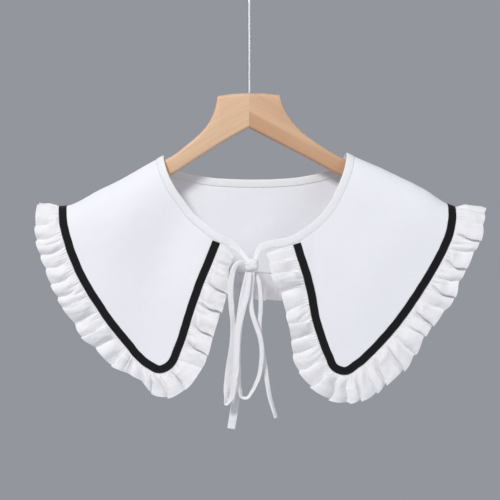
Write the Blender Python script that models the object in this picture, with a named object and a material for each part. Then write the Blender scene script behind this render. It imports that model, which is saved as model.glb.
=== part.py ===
"""A detachable cape collar of white cotton, with two long points in front, a black ribbon along its edge,
a gathered ruffle all round and a neck binding that runs on as two ties in a limp bow. It hangs on a
flat wooden hanger with a wire hook. The origin is where the hook bears on its rail, +Z is up and the
collar's front faces -Y. All sizes below are millimetres, and the solids are made in metres."""

import math

import bpy
import numpy as np

MM = 0.001

# Cloth and trim
COTTON = 1.2
SEAM_GAP = 0.3
RIBBON_WIDE = 8.0
RIBBON_THICK = 0.8
BINDING_WIDE = 8.0
BINDING_THICK = 2.0
BINDING_PROUD = 0.5
RUFFLE_THICK = 1.0

# The back of the ruffle is shallower at the shoulders, and its folds vary in width and rise
BACK_RUFFLE_DEEP = 29.0
BACK_RUFFLE_AT_SHOULDER = 0.75
BACK_RUFFLE_TAPER = 60.0
BACK_FOLDS = 26
BACK_FOLD_WIDTHS = (0.75, 1.25)
BACK_FOLD_RISES = (2.8, 4.6)

# How the cloth turns down from the shoulder line into its front and back
CREST_BEND = 14.0
HANG_ANGLE = math.radians(87.5)
LONGEST_DROP = 420.0
DROP_STEP = 0.2
# How far over the shoulder line the soft folds reach their full depth
SOFT_FOLDS_FROM = 30.0

# The panel's columns are short round each point, over the shoulder and round the back corners
COLUMN_COUNTS = (9, 9, 10, 12, 8, 20, 8, 12, 10, 9, 9)
PANEL_ROWS = (0.0, 0.26, 0.52, 0.78, 1.0)
ROUND_CREST = 26.0
POINT_SHARE = 0.4
POINT_HALF = 24.0
BACK_CORNER = 62.0
CORNER_IN = 2.5

# Across is measured from the hook's stem, and below from the rail
LEFT_NECK_POINT = -86.5
RIGHT_NECK_POINT = 98.7

# The shoulder line, the highest line of the collar: across, below
SHOULDER_LINE = (
    (-222.0, 252.0),
    (-213.6, 252.3),
    (-200.0, 253.5),
    (-188.0, 253.8),
    (-150.0, 236.4),
    (-86.5, 202.4),
    (-40.0, 177.5),
    (6.0, 163.0),
    (50.0, 177.5),
    (98.7, 199.8),
    (177.0, 236.1),
    (204.0, 252.8),
    (222.0, 257.5),
    (246.0, 263.0),
)

# The middle of the ribbon on each front, from the neck binding round the point to the shoulder line
LEFT_RIBBON = (
    (-32.7, 289.7),
    (-38.5, 304.6),
    (-49.2, 330.7),
    (-60.0, 361.3),
    (-69.3, 391.2),
    (-80.7, 414.4),
    (-88.4, 418.0),
    (-98.6, 414.1),
    (-109.4, 405.9),
    (-121.2, 391.8),
    (-146.1, 359.5),
    (-167.8, 323.7),
    (-180.4, 293.1),
    (-186.8, 268.6),
)
RIGHT_RIBBON = (
    (47.9, 291.6),
    (51.6, 303.7),
    (58.0, 323.5),
    (62.3, 340.9),
    (66.5, 364.1),
    (72.3, 384.0),
    (78.9, 402.2),
    (85.5, 415.0),
    (93.8, 418.8),
    (107.1, 412.2),
    (127.0, 394.0),
    (145.2, 374.0),
    (163.5, 349.2),
    (178.4, 326.0),
    (191.7, 302.7),
    (201.0, 281.2),
    (204.4, 264.6),
)
LEFT_RIBBON_TOP = -188.0
RIGHT_RIBBON_TOP = 204.2

# The middle of the ribbon on the back, from the left shoulder line to the right one: across, below
BACK_RIBBON = (
    (-187.0, 272.0),
    (-178.0, 293.0),
    (-157.0, 307.0),
    (-110.0, 314.0),
    (-50.0, 316.0),
    (6.0, 316.5),
    (64.0, 316.0),
    (124.0, 314.0),
    (172.0, 307.0),
    (194.0, 293.0),
    (203.0, 272.0),
)

# The upper edge of the neck binding, which faces the neck opening: across, below
LEFT_NECK_EDGE = (
    (0.3, 303.4),
    (-5.6, 298.4),
    (-10.6, 292.6),
    (-17.4, 287.0),
    (-28.6, 281.9),
    (-41.9, 272.7),
    (-55.1, 261.5),
    (-65.3, 248.2),
    (-75.8, 232.7),
    (-84.0, 213.2),
)
RIGHT_NECK_EDGE = (
    (4.2, 305.6),
    (5.6, 300.2),
    (9.4, 293.6),
    (17.0, 289.4),
    (32.5, 286.6),
    (45.2, 282.7),
    (56.0, 275.7),
    (65.4, 268.6),
    (78.0, 254.5),
    (88.2, 235.4),
    (96.4, 214.0),
)
BACK_NECK_EDGE = (
    (-79.0, 214.0),
    (-62.0, 220.0),
    (-35.0, 224.5),
    (6.0, 226.0),
    (47.0, 224.0),
    (74.0, 219.0),
    (91.0, 212.5),
)
# Lengths of the binding that leave the collar at each front corner to make the bow
LEFT_TIE_FREE = 27.0
RIGHT_TIE_FREE = 38.0
TIE_LIFT = 4.0
# The ties are bunched to this share of their width where they enter the knot
TIE_BUNCHED = 0.55
TIE_BUNCHED_OVER = 18.0

# A row for each fold of the ruffle: how far along the ribbon its crease starts, where the crease
# ends on the ruffle's edge (across, below), and how far the cloth after it stands forward
LEFT_FOLDS = (
    (0.0, -14.5, 304.0, 1.6),
    (16.8, -19.5, 316.5, 3.0),
    (41.0, -22.0, 341.0, 3.6),
    (64.0, -27.0, 358.5, 3.0),
    (87.0, -35.4, 384.0, 3.4),
    (106.0, -40.3, 401.0, 2.8),
    (124.0, -46.0, 417.0, 3.6),
    (137.0, -57.5, 433.0, 4.2),
    (145.0, -76.0, 444.5, 4.4),
    (152.0, -95.5, 443.0, 3.6),
    (162.0, -107.0, 430.0, 3.2),
    (171.0, -119.0, 423.0, 3.6),
    (182.0, -138.0, 414.0, 4.0),
    (197.0, -154.0, 396.0, 3.8),
    (214.0, -165.5, 387.0, 4.2),
    (229.0, -174.5, 373.0, 3.8),
    (244.5, -184.5, 358.5, 4.4),
    (260.0, -191.5, 346.0, 3.6),
    (274.5, -198.5, 334.0, 4.0),
    (288.0, -203.5, 318.0, 3.4),
    (301.5, -209.0, 305.0, 3.8),
    (315.0, -214.0, 289.0, 3.4),
    (328.0, -215.0, 273.0, 3.0),
)
RIGHT_FOLDS = (
    (0.0, 17.0, 301.5, 1.6),
    (13.0, 21.0, 314.0, 2.8),
    (26.5, 24.5, 328.5, 3.6),
    (45.0, 31.5, 341.0, 3.2),
    (61.0, 36.6, 360.5, 3.8),
    (77.0, 40.5, 376.5, 3.2),
    (91.0, 41.5, 389.0, 2.8),
    (105.0, 42.8, 402.0, 3.4),
    (119.5, 49.0, 419.0, 3.0),
    (130.0, 62.0, 435.5, 4.0),
    (137.5, 81.0, 447.5, 4.4),
    (143.0, 97.5, 450.5, 3.6),
    (150.0, 111.0, 448.0, 3.8),
    (158.0, 127.0, 441.5, 3.4),
    (170.0, 137.0, 432.0, 3.8),
    (186.5, 155.5, 417.0, 4.6),
    (200.0, 165.5, 404.5, 3.8),
    (215.0, 175.5, 385.5, 3.6),
    (232.0, 184.0, 373.5, 4.0),
    (246.0, 195.5, 360.0, 4.0),
    (262.0, 207.0, 342.5, 4.4),
    (276.5, 210.5, 331.0, 3.6),
    (290.0, 219.0, 314.0, 3.8),
    (304.0, 226.0, 301.0, 3.2),
    (317.0, 232.5, 288.0, 3.6),
    (331.0, 236.5, 273.0, 3.2),
)
LEFT_RUFFLE_TOP = -213.0
RIGHT_RUFFLE_TOP = 238.0
FOLD_COLUMNS = 6
RUFFLE_ROWS = (0.0, 0.34, 0.68, 1.0)
# How sharp the creases are, how far a fold leans over the next and how far it reaches past it, and
# the share of the ruffle's depth by which a fold has its full rise
CREASE_PINCH = 0.85
FOLD_LEAN = 0.1
RIDGE_REACH = 0.07
FULL_RISE_BY = 0.67

# Soft, broad hollows and swells in the hanging cloth. Side is -1 in front and 1 behind. Tilt is how
# far the hollow leans across for each mm that it runs down, and depth is outward
SOFT_FOLDS = (
    # side, across, below, half length, half width, tilt, depth
    (-1, -101.0, 276.0, 62.0, 21.0, -0.22, -3.2),
    (-1, -60.0, 300.0, 40.0, 15.0, -0.40, 1.6),
    (-1, -120.0, 372.0, 40.0, 22.0, 0.50, 1.2),
    (-1, 66.0, 306.0, 26.0, 7.0, 0.05, -0.9),
    (-1, 120.0, 330.0, 70.0, 30.0, -0.30, 1.6),
    (1, -95.0, 270.0, 48.0, 20.0, -0.25, 2.4),
    (1, -30.0, 280.0, 44.0, 18.0, -0.08, -1.8),
    (1, 46.0, 278.0, 44.0, 20.0, 0.10, 2.2),
    (1, 118.0, 272.0, 46.0, 18.0, 0.28, -2.0),
)

# The knot is a block with rounded corners, wider than it is high
KNOT_PLACE = (2.5, -31.0, -313.0)
KNOT_HALF = (7.0, 7.4, 6.4)
KNOT_SQUARENESS = 0.55
KNOT_AROUND = 18
KNOT_LEVELS = 9

# The bow's loops and tails hang from the knot: across, below, depth, width, and degrees turned from
# facing front. Depth is the Y of the tape's middle
TIE_THICK = 1.0
BOW_STRIPS = {
    "bow_loop_left": (
        (-5.1, 310.9, -31.3, 5.0, 14),
        (-10.4, 311.4, -32.4, 5.0, 20),
        (-14.6, 316.0, -33.4, 5.4, 12),
        (-17.0, 325.0, -33.8, 5.6, 4),
        (-18.2, 338.0, -33.4, 5.8, 4),
        (-17.4, 354.0, -31.6, 5.8, 4),
        (-15.6, 372.0, -29.4, 6.0, 6),
        (-15.8, 392.0, -28.4, 7.0, 14),
        (-19.0, 414.0, -29.2, 8.0, 28),
        (-21.6, 432.0, -31.2, 8.4, 50),
        (-22.4, 443.0, -32.8, 8.4, 62),
        (-21.2, 449.6, -34.2, 8.4, 66),
        (-18.4, 446.0, -35.6, 8.2, 62),
        (-16.0, 434.0, -36.8, 7.8, 46),
        (-13.2, 416.0, -38.2, 7.0, 24),
        (-12.4, 398.0, -38.8, 6.6, 10),
        (-10.8, 376.0, -38.8, 6.6, 6),
        (-6.0, 356.0, -38.4, 6.4, 4),
        (-1.4, 338.0, -37.4, 5.8, 2),
        (0.8, 320.2, -36.2, 5.0, 0),
    ),
    "bow_loop_right": (
        (-1.0, 320.0, -31.0, 5.0, 0),
        (-3.8, 332.0, -31.6, 5.6, 4),
        (-6.8, 348.0, -32.2, 6.0, 6),
        (-9.4, 366.0, -33.4, 6.0, 8),
        (-10.6, 384.0, -34.0, 6.0, 12),
        (-10.8, 404.0, -33.8, 6.0, 26),
        (-9.6, 426.0, -33.2, 6.0, 52),
        (-8.4, 438.0, -33.0, 6.0, 66),
        (-6.2, 445.0, -33.0, 6.0, 72),
        (-2.6, 445.4, -33.0, 6.0, 70),
        (2.6, 439.0, -33.2, 6.0, 64),
        (8.0, 428.0, -33.6, 5.6, 52),
        (11.4, 414.0, -34.2, 5.2, 34),
        (12.6, 398.0, -34.8, 5.0, 20),
        (10.6, 384.0, -34.8, 5.0, 12),
        (6.2, 371.0, -34.4, 5.0, 8),
        (2.6, 358.0, -34.0, 5.0, 5),
        (1.8, 344.0, -33.8, 5.0, 4),
        (2.8, 331.0, -33.6, 5.0, 0),
        (3.8, 320.2, -33.2, 5.0, 0),
    ),
    "bow_tail_left": (
        (0.0, 319.9, -26.8, 5.0, 0),
        (-4.0, 336.0, -25.4, 6.0, 0),
        (-7.6, 356.0, -24.8, 7.0, 2),
        (-10.4, 376.0, -24.6, 7.6, 2),
        (-12.8, 400.0, -24.6, 8.0, -4),
        (-13.8, 424.0, -24.6, 8.0, -6),
        (-13.6, 446.0, -24.6, 8.0, -4),
        (-15.8, 464.0, -24.6, 8.0, 0),
        (-17.8, 476.6, -24.6, 8.0, 0),
    ),
    "bow_tail_right": (
        (6.6, 320.0, -30.2, 4.6, 0),
        (9.6, 328.0, -30.2, 4.6, 0),
        (11.4, 340.0, -30.2, 4.6, 5),
        (11.8, 356.0, -30.0, 4.6, 5),
        (10.6, 374.0, -29.6, 4.6, 5),
        (12.4, 392.0, -29.4, 5.0, 5),
        (15.8, 412.0, -29.2, 5.2, 12),
        (18.4, 430.0, -29.2, 5.0, 24),
        (21.4, 446.0, -29.2, 5.0, 34),
        (25.0, 458.0, -29.2, 5.8, 26),
        (27.2, 465.4, -29.2, 6.0, 20),
    ),
}

# The hanger: across, top below the rail, bottom below the rail. Its board is one thickness
HANGER_THICK = 12.0
HANGER_EDGE = 5.4
ARM_UNDER_COLLAR = 2.0
ARM_SEAT_FROM = 115.0
HUB_TOP = 139.5
HANGER_SECTIONS = (
    (-177.0, 253.6, 262.0),
    (-174.0, 251.0, 266.0),
    (-165.0, 245.8, 264.6),
    (-145.0, 236.2, 255.8),
    (-120.0, 222.9, 243.6),
    (-98.0, 212.4, 232.0),
    (-75.1, 201.6, 220.2),
    (-64.8, 193.4, 213.6),
    (-52.6, 183.4, 205.6),
    (-39.3, 167.4, 197.2),
    (-34.6, 156.0, 194.2),
    (-31.6, 142.4, 192.2),
    (-16.3, 140.2, 183.2),
    (0.0, HUB_TOP, 174.4),
    (16.0, 139.8, 182.6),
    (31.0, 141.4, 190.2),
    (34.4, 152.0, 191.9),
    (39.5, 161.6, 194.5),
    (51.6, 176.4, 200.9),
    (71.0, 191.4, 211.4),
    (90.4, 203.2, 221.9),
    (112.0, 212.4, 231.8),
    (140.0, 221.2, 242.0),
    (160.0, 230.2, 250.0),
    (174.0, 237.4, 252.6),
    (177.0, 240.6, 249.0),
)

# The hook: a stem that bends aside and round to a crook over the rail
WIRE_RADIUS = 1.9
CROOK_RADIUS = 20.0
STEM_BEND = 12.0
STEM_FOOT = 157.0
CROOK_END = math.radians(196.0)
BORE_CLEAR = 0.3
BORE_DEEP = 18.0


def smooth(points, steps=10):
    """Points along a smooth curve through the given ones, whose slope is shared where they meet."""
    points = np.asarray(points, float)
    gaps = np.linalg.norm(np.diff(points, axis=0), axis=1)
    slope = np.gradient(points, np.concatenate([[0.0], np.cumsum(gaps)]), axis=0)
    t = (np.arange(steps) / steps)[:, None]
    pieces = []
    for index, gap in enumerate(gaps):
        start, end = points[index], points[index + 1]
        leave, arrive = slope[index] * gap, slope[index + 1] * gap
        bend = (2 * t**3 - 3 * t**2 + 1) * start + (t**3 - 2 * t**2 + t) * leave
        pieces.append(bend + (3 * t**2 - 2 * t**3) * end + (t**3 - t**2) * arrive)
    pieces.append(points[-1:])
    return np.concatenate(pieces)


def ease(value):
    """0 to 1 with no corner at either end."""
    value = np.clip(value, 0.0, 1.0)
    return value * value * (3 - 2 * value)


def hanging_profile():
    """How far out and how far down the cloth is, for each distance over it from the shoulder line."""
    over = np.arange(0.0, LONGEST_DROP + DROP_STEP, DROP_STEP)
    angle = HANG_ANGLE * (1 - np.exp(-over / CREST_BEND))
    middle = angle[1:] - 0.5 * np.diff(angle)
    out = np.concatenate([[0.0], np.cumsum(np.cos(middle))]) * DROP_STEP
    drop = np.concatenate([[0.0], np.cumsum(np.sin(middle))]) * DROP_STEP
    return over, out, drop


OVER, OUT, DROP = hanging_profile()
SHOULDER = smooth(SHOULDER_LINE, 16)


def shoulder_below(across):
    return np.interp(across, SHOULDER[:, 0], SHOULDER[:, 1])


def relief(across, below, front):
    """How far the soft folds move the hanging cloth outward."""
    total = np.zeros_like(across)
    for side, at, level, half_long, half_wide, tilt, depth in SOFT_FOLDS:
        down = below - level
        aside = across - at - tilt * down
        bump = depth * np.exp(-((aside / half_wide) ** 2) - (down / half_long) ** 2)
        total += np.where(front == (side < 0), bump, 0.0)
    return total


def surface(spots):
    """The place in space of spots on the cloth, each given as across and over the shoulder line.
    Over is positive in front and negative behind."""
    across, over = spots[..., 0], spots[..., 1]
    out = np.interp(np.abs(over), OVER, OUT)
    below = shoulder_below(across) + np.interp(np.abs(over), OVER, DROP)
    out = out + relief(across, below, over > 0) * ease(np.abs(over) / SOFT_FOLDS_FROM)
    return np.stack([across, -np.sign(over) * out, -below], axis=-1)


def front_spots(points, side=1):
    """Spots on the cloth for points seen from the front or, with side -1, from behind."""
    points = np.asarray(points, float)
    drop = np.maximum(points[:, 1] - shoulder_below(points[:, 0]), 0.0)
    return np.stack([points[:, 0], side * np.interp(drop, DROP, OVER)], axis=1)


def nearest_spots(places):
    """The spot on the cloth nearest each place in space."""
    drop = -places[:, 2] - shoulder_below(places[:, 0])
    apart = (np.abs(places[:, 1])[:, None] - OUT) ** 2 + (drop[:, None] - DROP) ** 2
    side = np.where(places[:, 1] > 0, -1.0, 1.0)
    return np.stack([places[:, 0], side * OVER[np.argmin(apart, axis=1)]], axis=1)


def unit(vectors):
    return vectors / np.linalg.norm(vectors, axis=-1, keepdims=True)


def lengths(places):
    """Distance along a row of places in space."""
    return np.concatenate([[0.0], np.cumsum(np.linalg.norm(np.diff(places, axis=0), axis=1))])


def pick(rows, at, wanted):
    """Rows read off at the wanted values of at."""
    return np.stack([np.interp(wanted, at, rows[:, k]) for k in range(rows.shape[1])], axis=1)


def outward(spots):
    """The cloth's outward direction at each spot."""
    aside = surface(spots + [DROP_STEP, 0.0]) - surface(spots - [DROP_STEP, 0.0])
    along = surface(spots + [0.0, DROP_STEP]) - surface(spots - [0.0, DROP_STEP])
    return unit(np.cross(along, aside))


def beside(spots, distance):
    """The curve that runs this far beside another on the cloth, away from the neck."""
    places = surface(spots)
    heading = unit(np.gradient(places, axis=0))
    aside = np.cross(outward(spots), heading)
    return nearest_spots(places + aside * distance)


def grid_normals(grid):
    """The outward direction at each point of a grid whose columns go round the collar from its left
    front corner by the back, and whose rows go away from the neck."""
    return unit(np.cross(np.gradient(grid, axis=1), np.gradient(grid, axis=0)))


def material(name, colour, roughness, metallic=0.0):
    made = bpy.data.materials.new(name)
    made.use_nodes = True
    shader = made.node_tree.nodes["Principled BSDF"]
    shader.inputs["Base Color"].default_value = (*colour, 1.0)
    shader.inputs["Roughness"].default_value = roughness
    shader.inputs["Metallic"].default_value = metallic
    return made


def add_object(name, points, faces, finish):
    """One named solid from points in millimetres, with its own material."""
    mesh = bpy.data.meshes.new(name)
    mesh.from_pydata([tuple(point) for point in np.asarray(points) * MM], [], faces)
    mesh.materials.append(material(name, *finish))
    mesh.shade_smooth()
    made = bpy.data.objects.new(name, mesh)
    bpy.context.scene.collection.objects.link(made)
    return made


def wall(outer, inner):
    """Points and faces of a closed wall between two grids of the same rows and columns."""
    rows, columns = outer.shape[:2]
    count = rows * columns
    faces = []
    for row in range(rows - 1):
        for column in range(columns - 1):
            a = row * columns + column
            b, c, d = a + 1, a + columns + 1, a + columns
            faces += [(a, b, c), (a, c, d)]
            faces += [(count + a, count + c, count + b), (count + a, count + d, count + c)]
    rim = list(range(columns))
    rim += [row * columns + columns - 1 for row in range(1, rows)]
    rim += [(rows - 1) * columns + column for column in range(columns - 2, -1, -1)]
    rim += [row * columns for row in range(rows - 2, 0, -1)]
    for here, there in zip(rim, rim[1:] + rim[:1]):
        faces += [(here, count + here, count + there), (here, count + there, there)]
    return np.concatenate([outer.reshape(-1, 3), inner.reshape(-1, 3)]), faces


def facing_out(points, faces):
    """The faces turned round if together they enclose a negative volume."""
    corners = points[np.array(faces)]
    volume = np.einsum("ij,ij->i", corners[:, 0], np.cross(corners[:, 1], corners[:, 2])).sum()
    return faces if volume > 0 else [face[::-1] for face in faces]


def add_sheet(name, grid, normals, proud, thick, finish):
    """A sheet of cloth whose outer face stands this far proud of a grid."""
    points, faces = wall(grid + normals * proud, grid + normals * (proud - thick))
    return add_object(name, points, facing_out(points, faces), finish)


WHITE_COTTON = ((0.83, 0.83, 0.86), 0.85)
BLACK_RIBBON = ((0.012, 0.012, 0.016), 0.7)
BEECH = ((0.62, 0.40, 0.24), 0.5)
STEEL = ((0.55, 0.55, 0.56), 0.3, 1.0)


def neck_edge():
    """The binding's upper edge, from the left end of the tie by the back of the neck to the right end,
    and the distance along it."""
    left = front_spots(LEFT_NECK_EDGE)
    back = front_spots(BACK_NECK_EDGE, side=-1)
    right = front_spots(RIGHT_NECK_EDGE)[::-1]
    rows = np.concatenate([left, [[LEFT_NECK_POINT, 0.0]], back, [[RIGHT_NECK_POINT, 0.0]], right])
    spots = smooth(rows)
    return spots, lengths(surface(spots))


def ribbon_line():
    """The ribbon's middle all round, and the distance along it."""
    left = front_spots(LEFT_RIBBON)
    back = front_spots(BACK_RIBBON, side=-1)
    right = front_spots(RIGHT_RIBBON)[::-1]
    rows = np.concatenate([left, [[LEFT_RIBBON_TOP, 0.0]], back, [[RIGHT_RIBBON_TOP, 0.0]], right])
    spots = smooth(rows)
    return spots, lengths(surface(spots))


def crest_distances(spots, at):
    """The two distances along a curve at which it crosses the shoulder line."""
    crossing = np.nonzero(np.diff(np.sign(spots[:, 1])))[0]
    return at[crossing[0]], at[crossing[-1] + 1]


def spread(stops, counts):
    """Distances that step evenly between stops, the given number of times in each stretch."""
    runs = [np.linspace(a, b, count, endpoint=False) for a, b, count in zip(stops, stops[1:], counts)]
    return np.concatenate([*runs, stops[-1:]])


def column_stops(spots, at, first, last, point_half, corner_long):
    """Stretches of a curve, with short columns round each point, over the shoulder and round the back
    corners."""
    left, right = crest_distances(spots, at)
    left_point = first + (left - first) * POINT_SHARE
    right_point = last + (right - last) * POINT_SHARE
    stops = [first, left_point - point_half, left_point + point_half, left - ROUND_CREST, left + ROUND_CREST]
    stops += [left + ROUND_CREST + corner_long, right - ROUND_CREST - corner_long]
    stops += [right - ROUND_CREST, right + ROUND_CREST, right_point - point_half, right_point + point_half]
    return [*stops, last]


NECK, NECK_AT = neck_edge()
RIBBON, RIBBON_AT = ribbon_line()


def panel_neck_columns():
    """Distances along the neck edge of the panel's columns, which start where the ribbon's inner edge
    meets the binding at each front corner."""
    lower = surface(beside(NECK, BINDING_WIDE + SEAM_GAP))
    ribbon_ends = surface(beside(RIBBON, -RIBBON_WIDE / 2))[[0, -1]]
    first, last = (NECK_AT[np.argmin(np.linalg.norm(lower - end, axis=1))] for end in ribbon_ends)
    stops = column_stops(NECK, NECK_AT, first + CORNER_IN, last - CORNER_IN, POINT_HALF / 3, BACK_CORNER / 3)
    return spread(stops, COLUMN_COUNTS)


def panel_grid():
    """The panel from the binding to its outer edge, with a row at each edge of the ribbon."""
    neck_at = panel_neck_columns()
    stops = column_stops(RIBBON, RIBBON_AT, 0.0, RIBBON_AT[-1], POINT_HALF, BACK_CORNER)
    ribbon_at = spread(stops, COLUMN_COUNTS)
    half = RIBBON_WIDE / 2
    inner = pick(beside(NECK, BINDING_WIDE + SEAM_GAP), NECK_AT, neck_at)
    ribbon_in = pick(beside(RIBBON, -half), RIBBON_AT, ribbon_at)
    ribbon_out = pick(beside(RIBBON, half), RIBBON_AT, ribbon_at)
    rows = [inner + (ribbon_in - inner) * share for share in PANEL_ROWS]
    return surface(np.stack([*rows, ribbon_out]))


def add_panel_and_ribbon():
    grid = panel_grid()
    normals = grid_normals(grid)
    add_sheet("collar_panel", grid, normals, 0.0, COTTON, WHITE_COTTON)
    proud = SEAM_GAP + RIBBON_THICK
    add_sheet("ribbon_trim", grid[-2:], normals[-2:], proud, RIBBON_THICK, BLACK_RIBBON)


def add_binding():
    """The binding round the neck with its free lengths, which rise off the ruffle to the knot."""
    on_collar = panel_neck_columns()
    before = np.linspace(0.0, on_collar[0], 8, endpoint=False)
    after = np.linspace(on_collar[-1], NECK_AT[-1], 9)[1:]
    at = np.concatenate([before, on_collar, after])
    upper = pick(NECK, NECK_AT, at)
    lower = pick(beside(NECK, BINDING_WIDE), NECK_AT, at)
    from_end = np.minimum(at, NECK_AT[-1] - at)
    width = TIE_BUNCHED + (1 - TIE_BUNCHED) * ease(from_end / TIE_BUNCHED_OVER)
    grid = surface(np.stack([upper, upper + (lower - upper) * width[:, None]]))
    normals = grid_normals(grid)
    lift = TIE_LIFT * (ease(1 - at / LEFT_TIE_FREE) + ease(1 - (NECK_AT[-1] - at) / RIGHT_TIE_FREE))
    grid = grid + normals * lift[None, :, None]
    add_sheet("neck_binding", grid, normals, BINDING_PROUD, BINDING_THICK, WHITE_COTTON)


def back_folds(first, last):
    """Folds for the back of the ruffle, uneven in width and height, in the fronts' columns."""
    random = np.random.default_rng(11)
    widths = random.uniform(*BACK_FOLD_WIDTHS, BACK_FOLDS)
    at = first + (last - first) * np.concatenate([[0.0], np.cumsum(widths)]) / widths.sum()
    return at, random.uniform(*BACK_FOLD_RISES, BACK_FOLDS)


def fold_columns(at, edge, lifts):
    """Columns across every fold: distance along the ribbon, spot on the edge and rise of the cloth."""
    share = np.arange(FOLD_COLUMNS) / FOLD_COLUMNS
    rise = np.sin(math.pi * share) ** 1.5
    moved = share - CREASE_PINCH * np.sin(2 * math.pi * share) / (2 * math.pi) + FOLD_LEAN * rise
    places, spots, rises = [], [], []
    for fold, lift in enumerate(lifts):
        places.append(at[fold] + (at[fold + 1] - at[fold]) * moved)
        spots.append(edge[fold] + (edge[fold + 1] - edge[fold]) * moved[:, None])
        rises.append(lift * rise)
    places.append(at[-1:])
    spots.append(edge[-1:])
    rises.append([0.0])
    return np.concatenate(places), np.concatenate(spots), np.concatenate(rises)


def add_ruffle(name, at, edge, lifts):
    """A gathered strip from the ribbon's outer edge to its own, raised in a fold between creases."""
    places, edge_spots, rises = fold_columns(np.asarray(at), edge, lifts)
    seam = pick(beside(RIBBON, RIBBON_WIDE / 2 + SEAM_GAP), RIBBON_AT, places)
    reach = RIDGE_REACH * (rises / max(lifts) - 0.5)
    rows = [seam + (edge_spots - seam) * (share * (1 + reach * share))[:, None] for share in RUFFLE_ROWS]
    lying = surface(np.stack(rows))
    height = np.array([ease(share / FULL_RISE_BY) for share in RUFFLE_ROWS])[:, None] * rises[None, :]
    grid = lying + grid_normals(lying) * height[:, :, None]
    normals = grid_normals(grid)
    normals[0] = outward(seam)
    add_sheet(name, grid, normals, 0.0, RUFFLE_THICK, WHITE_COTTON)


def add_ruffles():
    """The ruffle in its three strips, which meet on the shoulder line."""
    left_crest, right_crest = crest_distances(RIBBON, RIBBON_AT)
    total = RIBBON_AT[-1]
    half_gap = SEAM_GAP / 2
    left = np.array(LEFT_FOLDS)
    left_at = [*left[:, 0], left_crest - half_gap]
    left_edge = np.concatenate([front_spots(left[:, 1:3]), [[LEFT_RUFFLE_TOP, half_gap]]])
    add_ruffle("ruffle_left", left_at, left_edge, left[:, 3])
    right = np.array(RIGHT_FOLDS)[::-1]
    right_at = [right_crest + half_gap, *(total - right[:, 0])]
    right_edge = np.concatenate([[[RIGHT_RUFFLE_TOP, half_gap]], front_spots(right[:, 1:3])])
    add_ruffle("ruffle_right", right_at, right_edge, right[:, 3])
    at, lifts = back_folds(left_crest + half_gap, right_crest - half_gap)
    seam = beside(RIBBON, RIBBON_WIDE / 2)
    deep = pick(beside(seam, BACK_RUFFLE_DEEP), RIBBON_AT, at)
    seam = pick(seam, RIBBON_AT, at)
    from_end = np.minimum(at - at[0], at[-1] - at)
    share = BACK_RUFFLE_AT_SHOULDER + (1 - BACK_RUFFLE_AT_SHOULDER) * ease(from_end / BACK_RUFFLE_TAPER)
    edge = seam + (deep - seam) * share[:, None]
    for end, top in ((0, LEFT_RUFFLE_TOP), (-1, RIGHT_RUFFLE_TOP)):
        edge[end] = (top, -half_gap)
    add_ruffle("ruffle_back", at, edge, lifts)


def add_strip(name, rows, thick, finish, per_row=3):
    """A tape that follows rows of across, below, depth, width and turn."""
    table = smooth(rows, per_row)
    middle = table[:, [0, 2, 1]] * [1.0, 1.0, -1.0]
    heading = unit(np.gradient(middle, axis=0))
    flat = unit(np.cross(heading, [0.0, -1.0, 0.0]))
    facing = np.cross(flat, heading)
    turn = np.radians(table[:, 4])[:, None]
    side = flat * np.cos(turn) + facing * np.sin(turn)
    half = table[:, 3][:, None] / 2
    grid = np.stack([middle - side * half, middle + side * half])
    normals = np.broadcast_to(unit(np.cross(heading, side)), grid.shape)
    return add_sheet(name, grid, normals, thick / 2, thick, finish)


def add_knot():
    """The knot: a ball of rings whose points are pushed out towards the corners of a block."""
    around, levels = KNOT_AROUND, KNOT_LEVELS
    points = [(0.0, 0.0, 1.0)]
    for level in range(1, levels):
        tip = math.pi * level / levels
        for step in range(around):
            turn = 2 * math.pi * step / around
            points.append((math.sin(tip) * math.cos(turn), math.sin(tip) * math.sin(turn), math.cos(tip)))
    points.append((0.0, 0.0, -1.0))
    points = np.array(points)
    power = 2 / KNOT_SQUARENESS
    points = points / (np.abs(points) ** power).sum(axis=1, keepdims=True) ** (1 / power)
    faces = [(0, 1 + step, 1 + (step + 1) % around) for step in range(around)]
    for level in range(levels - 2):
        for step in range(around):
            a = 1 + level * around + step
            b = 1 + level * around + (step + 1) % around
            faces += [(a, a + around, b + around), (a, b + around, b)]
    last = len(points) - 1
    faces += [(last, last - around + (step + 1) % around, last - around + step) for step in range(around)]
    points = points * KNOT_HALF + KNOT_PLACE
    add_object("bow_knot", points, facing_out(points, faces), WHITE_COTTON)


def hanger_section(across, top, bottom):
    """The board's rounded section at one place across."""
    half = HANGER_THICK / 2
    edge = min(HANGER_EDGE, (bottom - top) / 2 - 0.4)
    points = []
    for corner in range(4):
        y_side = 1 if corner in (0, 3) else -1
        z_side = 1 if corner in (0, 1) else -1
        middle = (y_side * (half - edge), -(top + bottom) / 2 + z_side * ((bottom - top) / 2 - edge))
        for step in range(3):
            angle = math.radians(90 * corner + 45 * step)
            points.append((across, middle[0] + edge * math.cos(angle), middle[1] + edge * math.sin(angle)))
    return points


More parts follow.
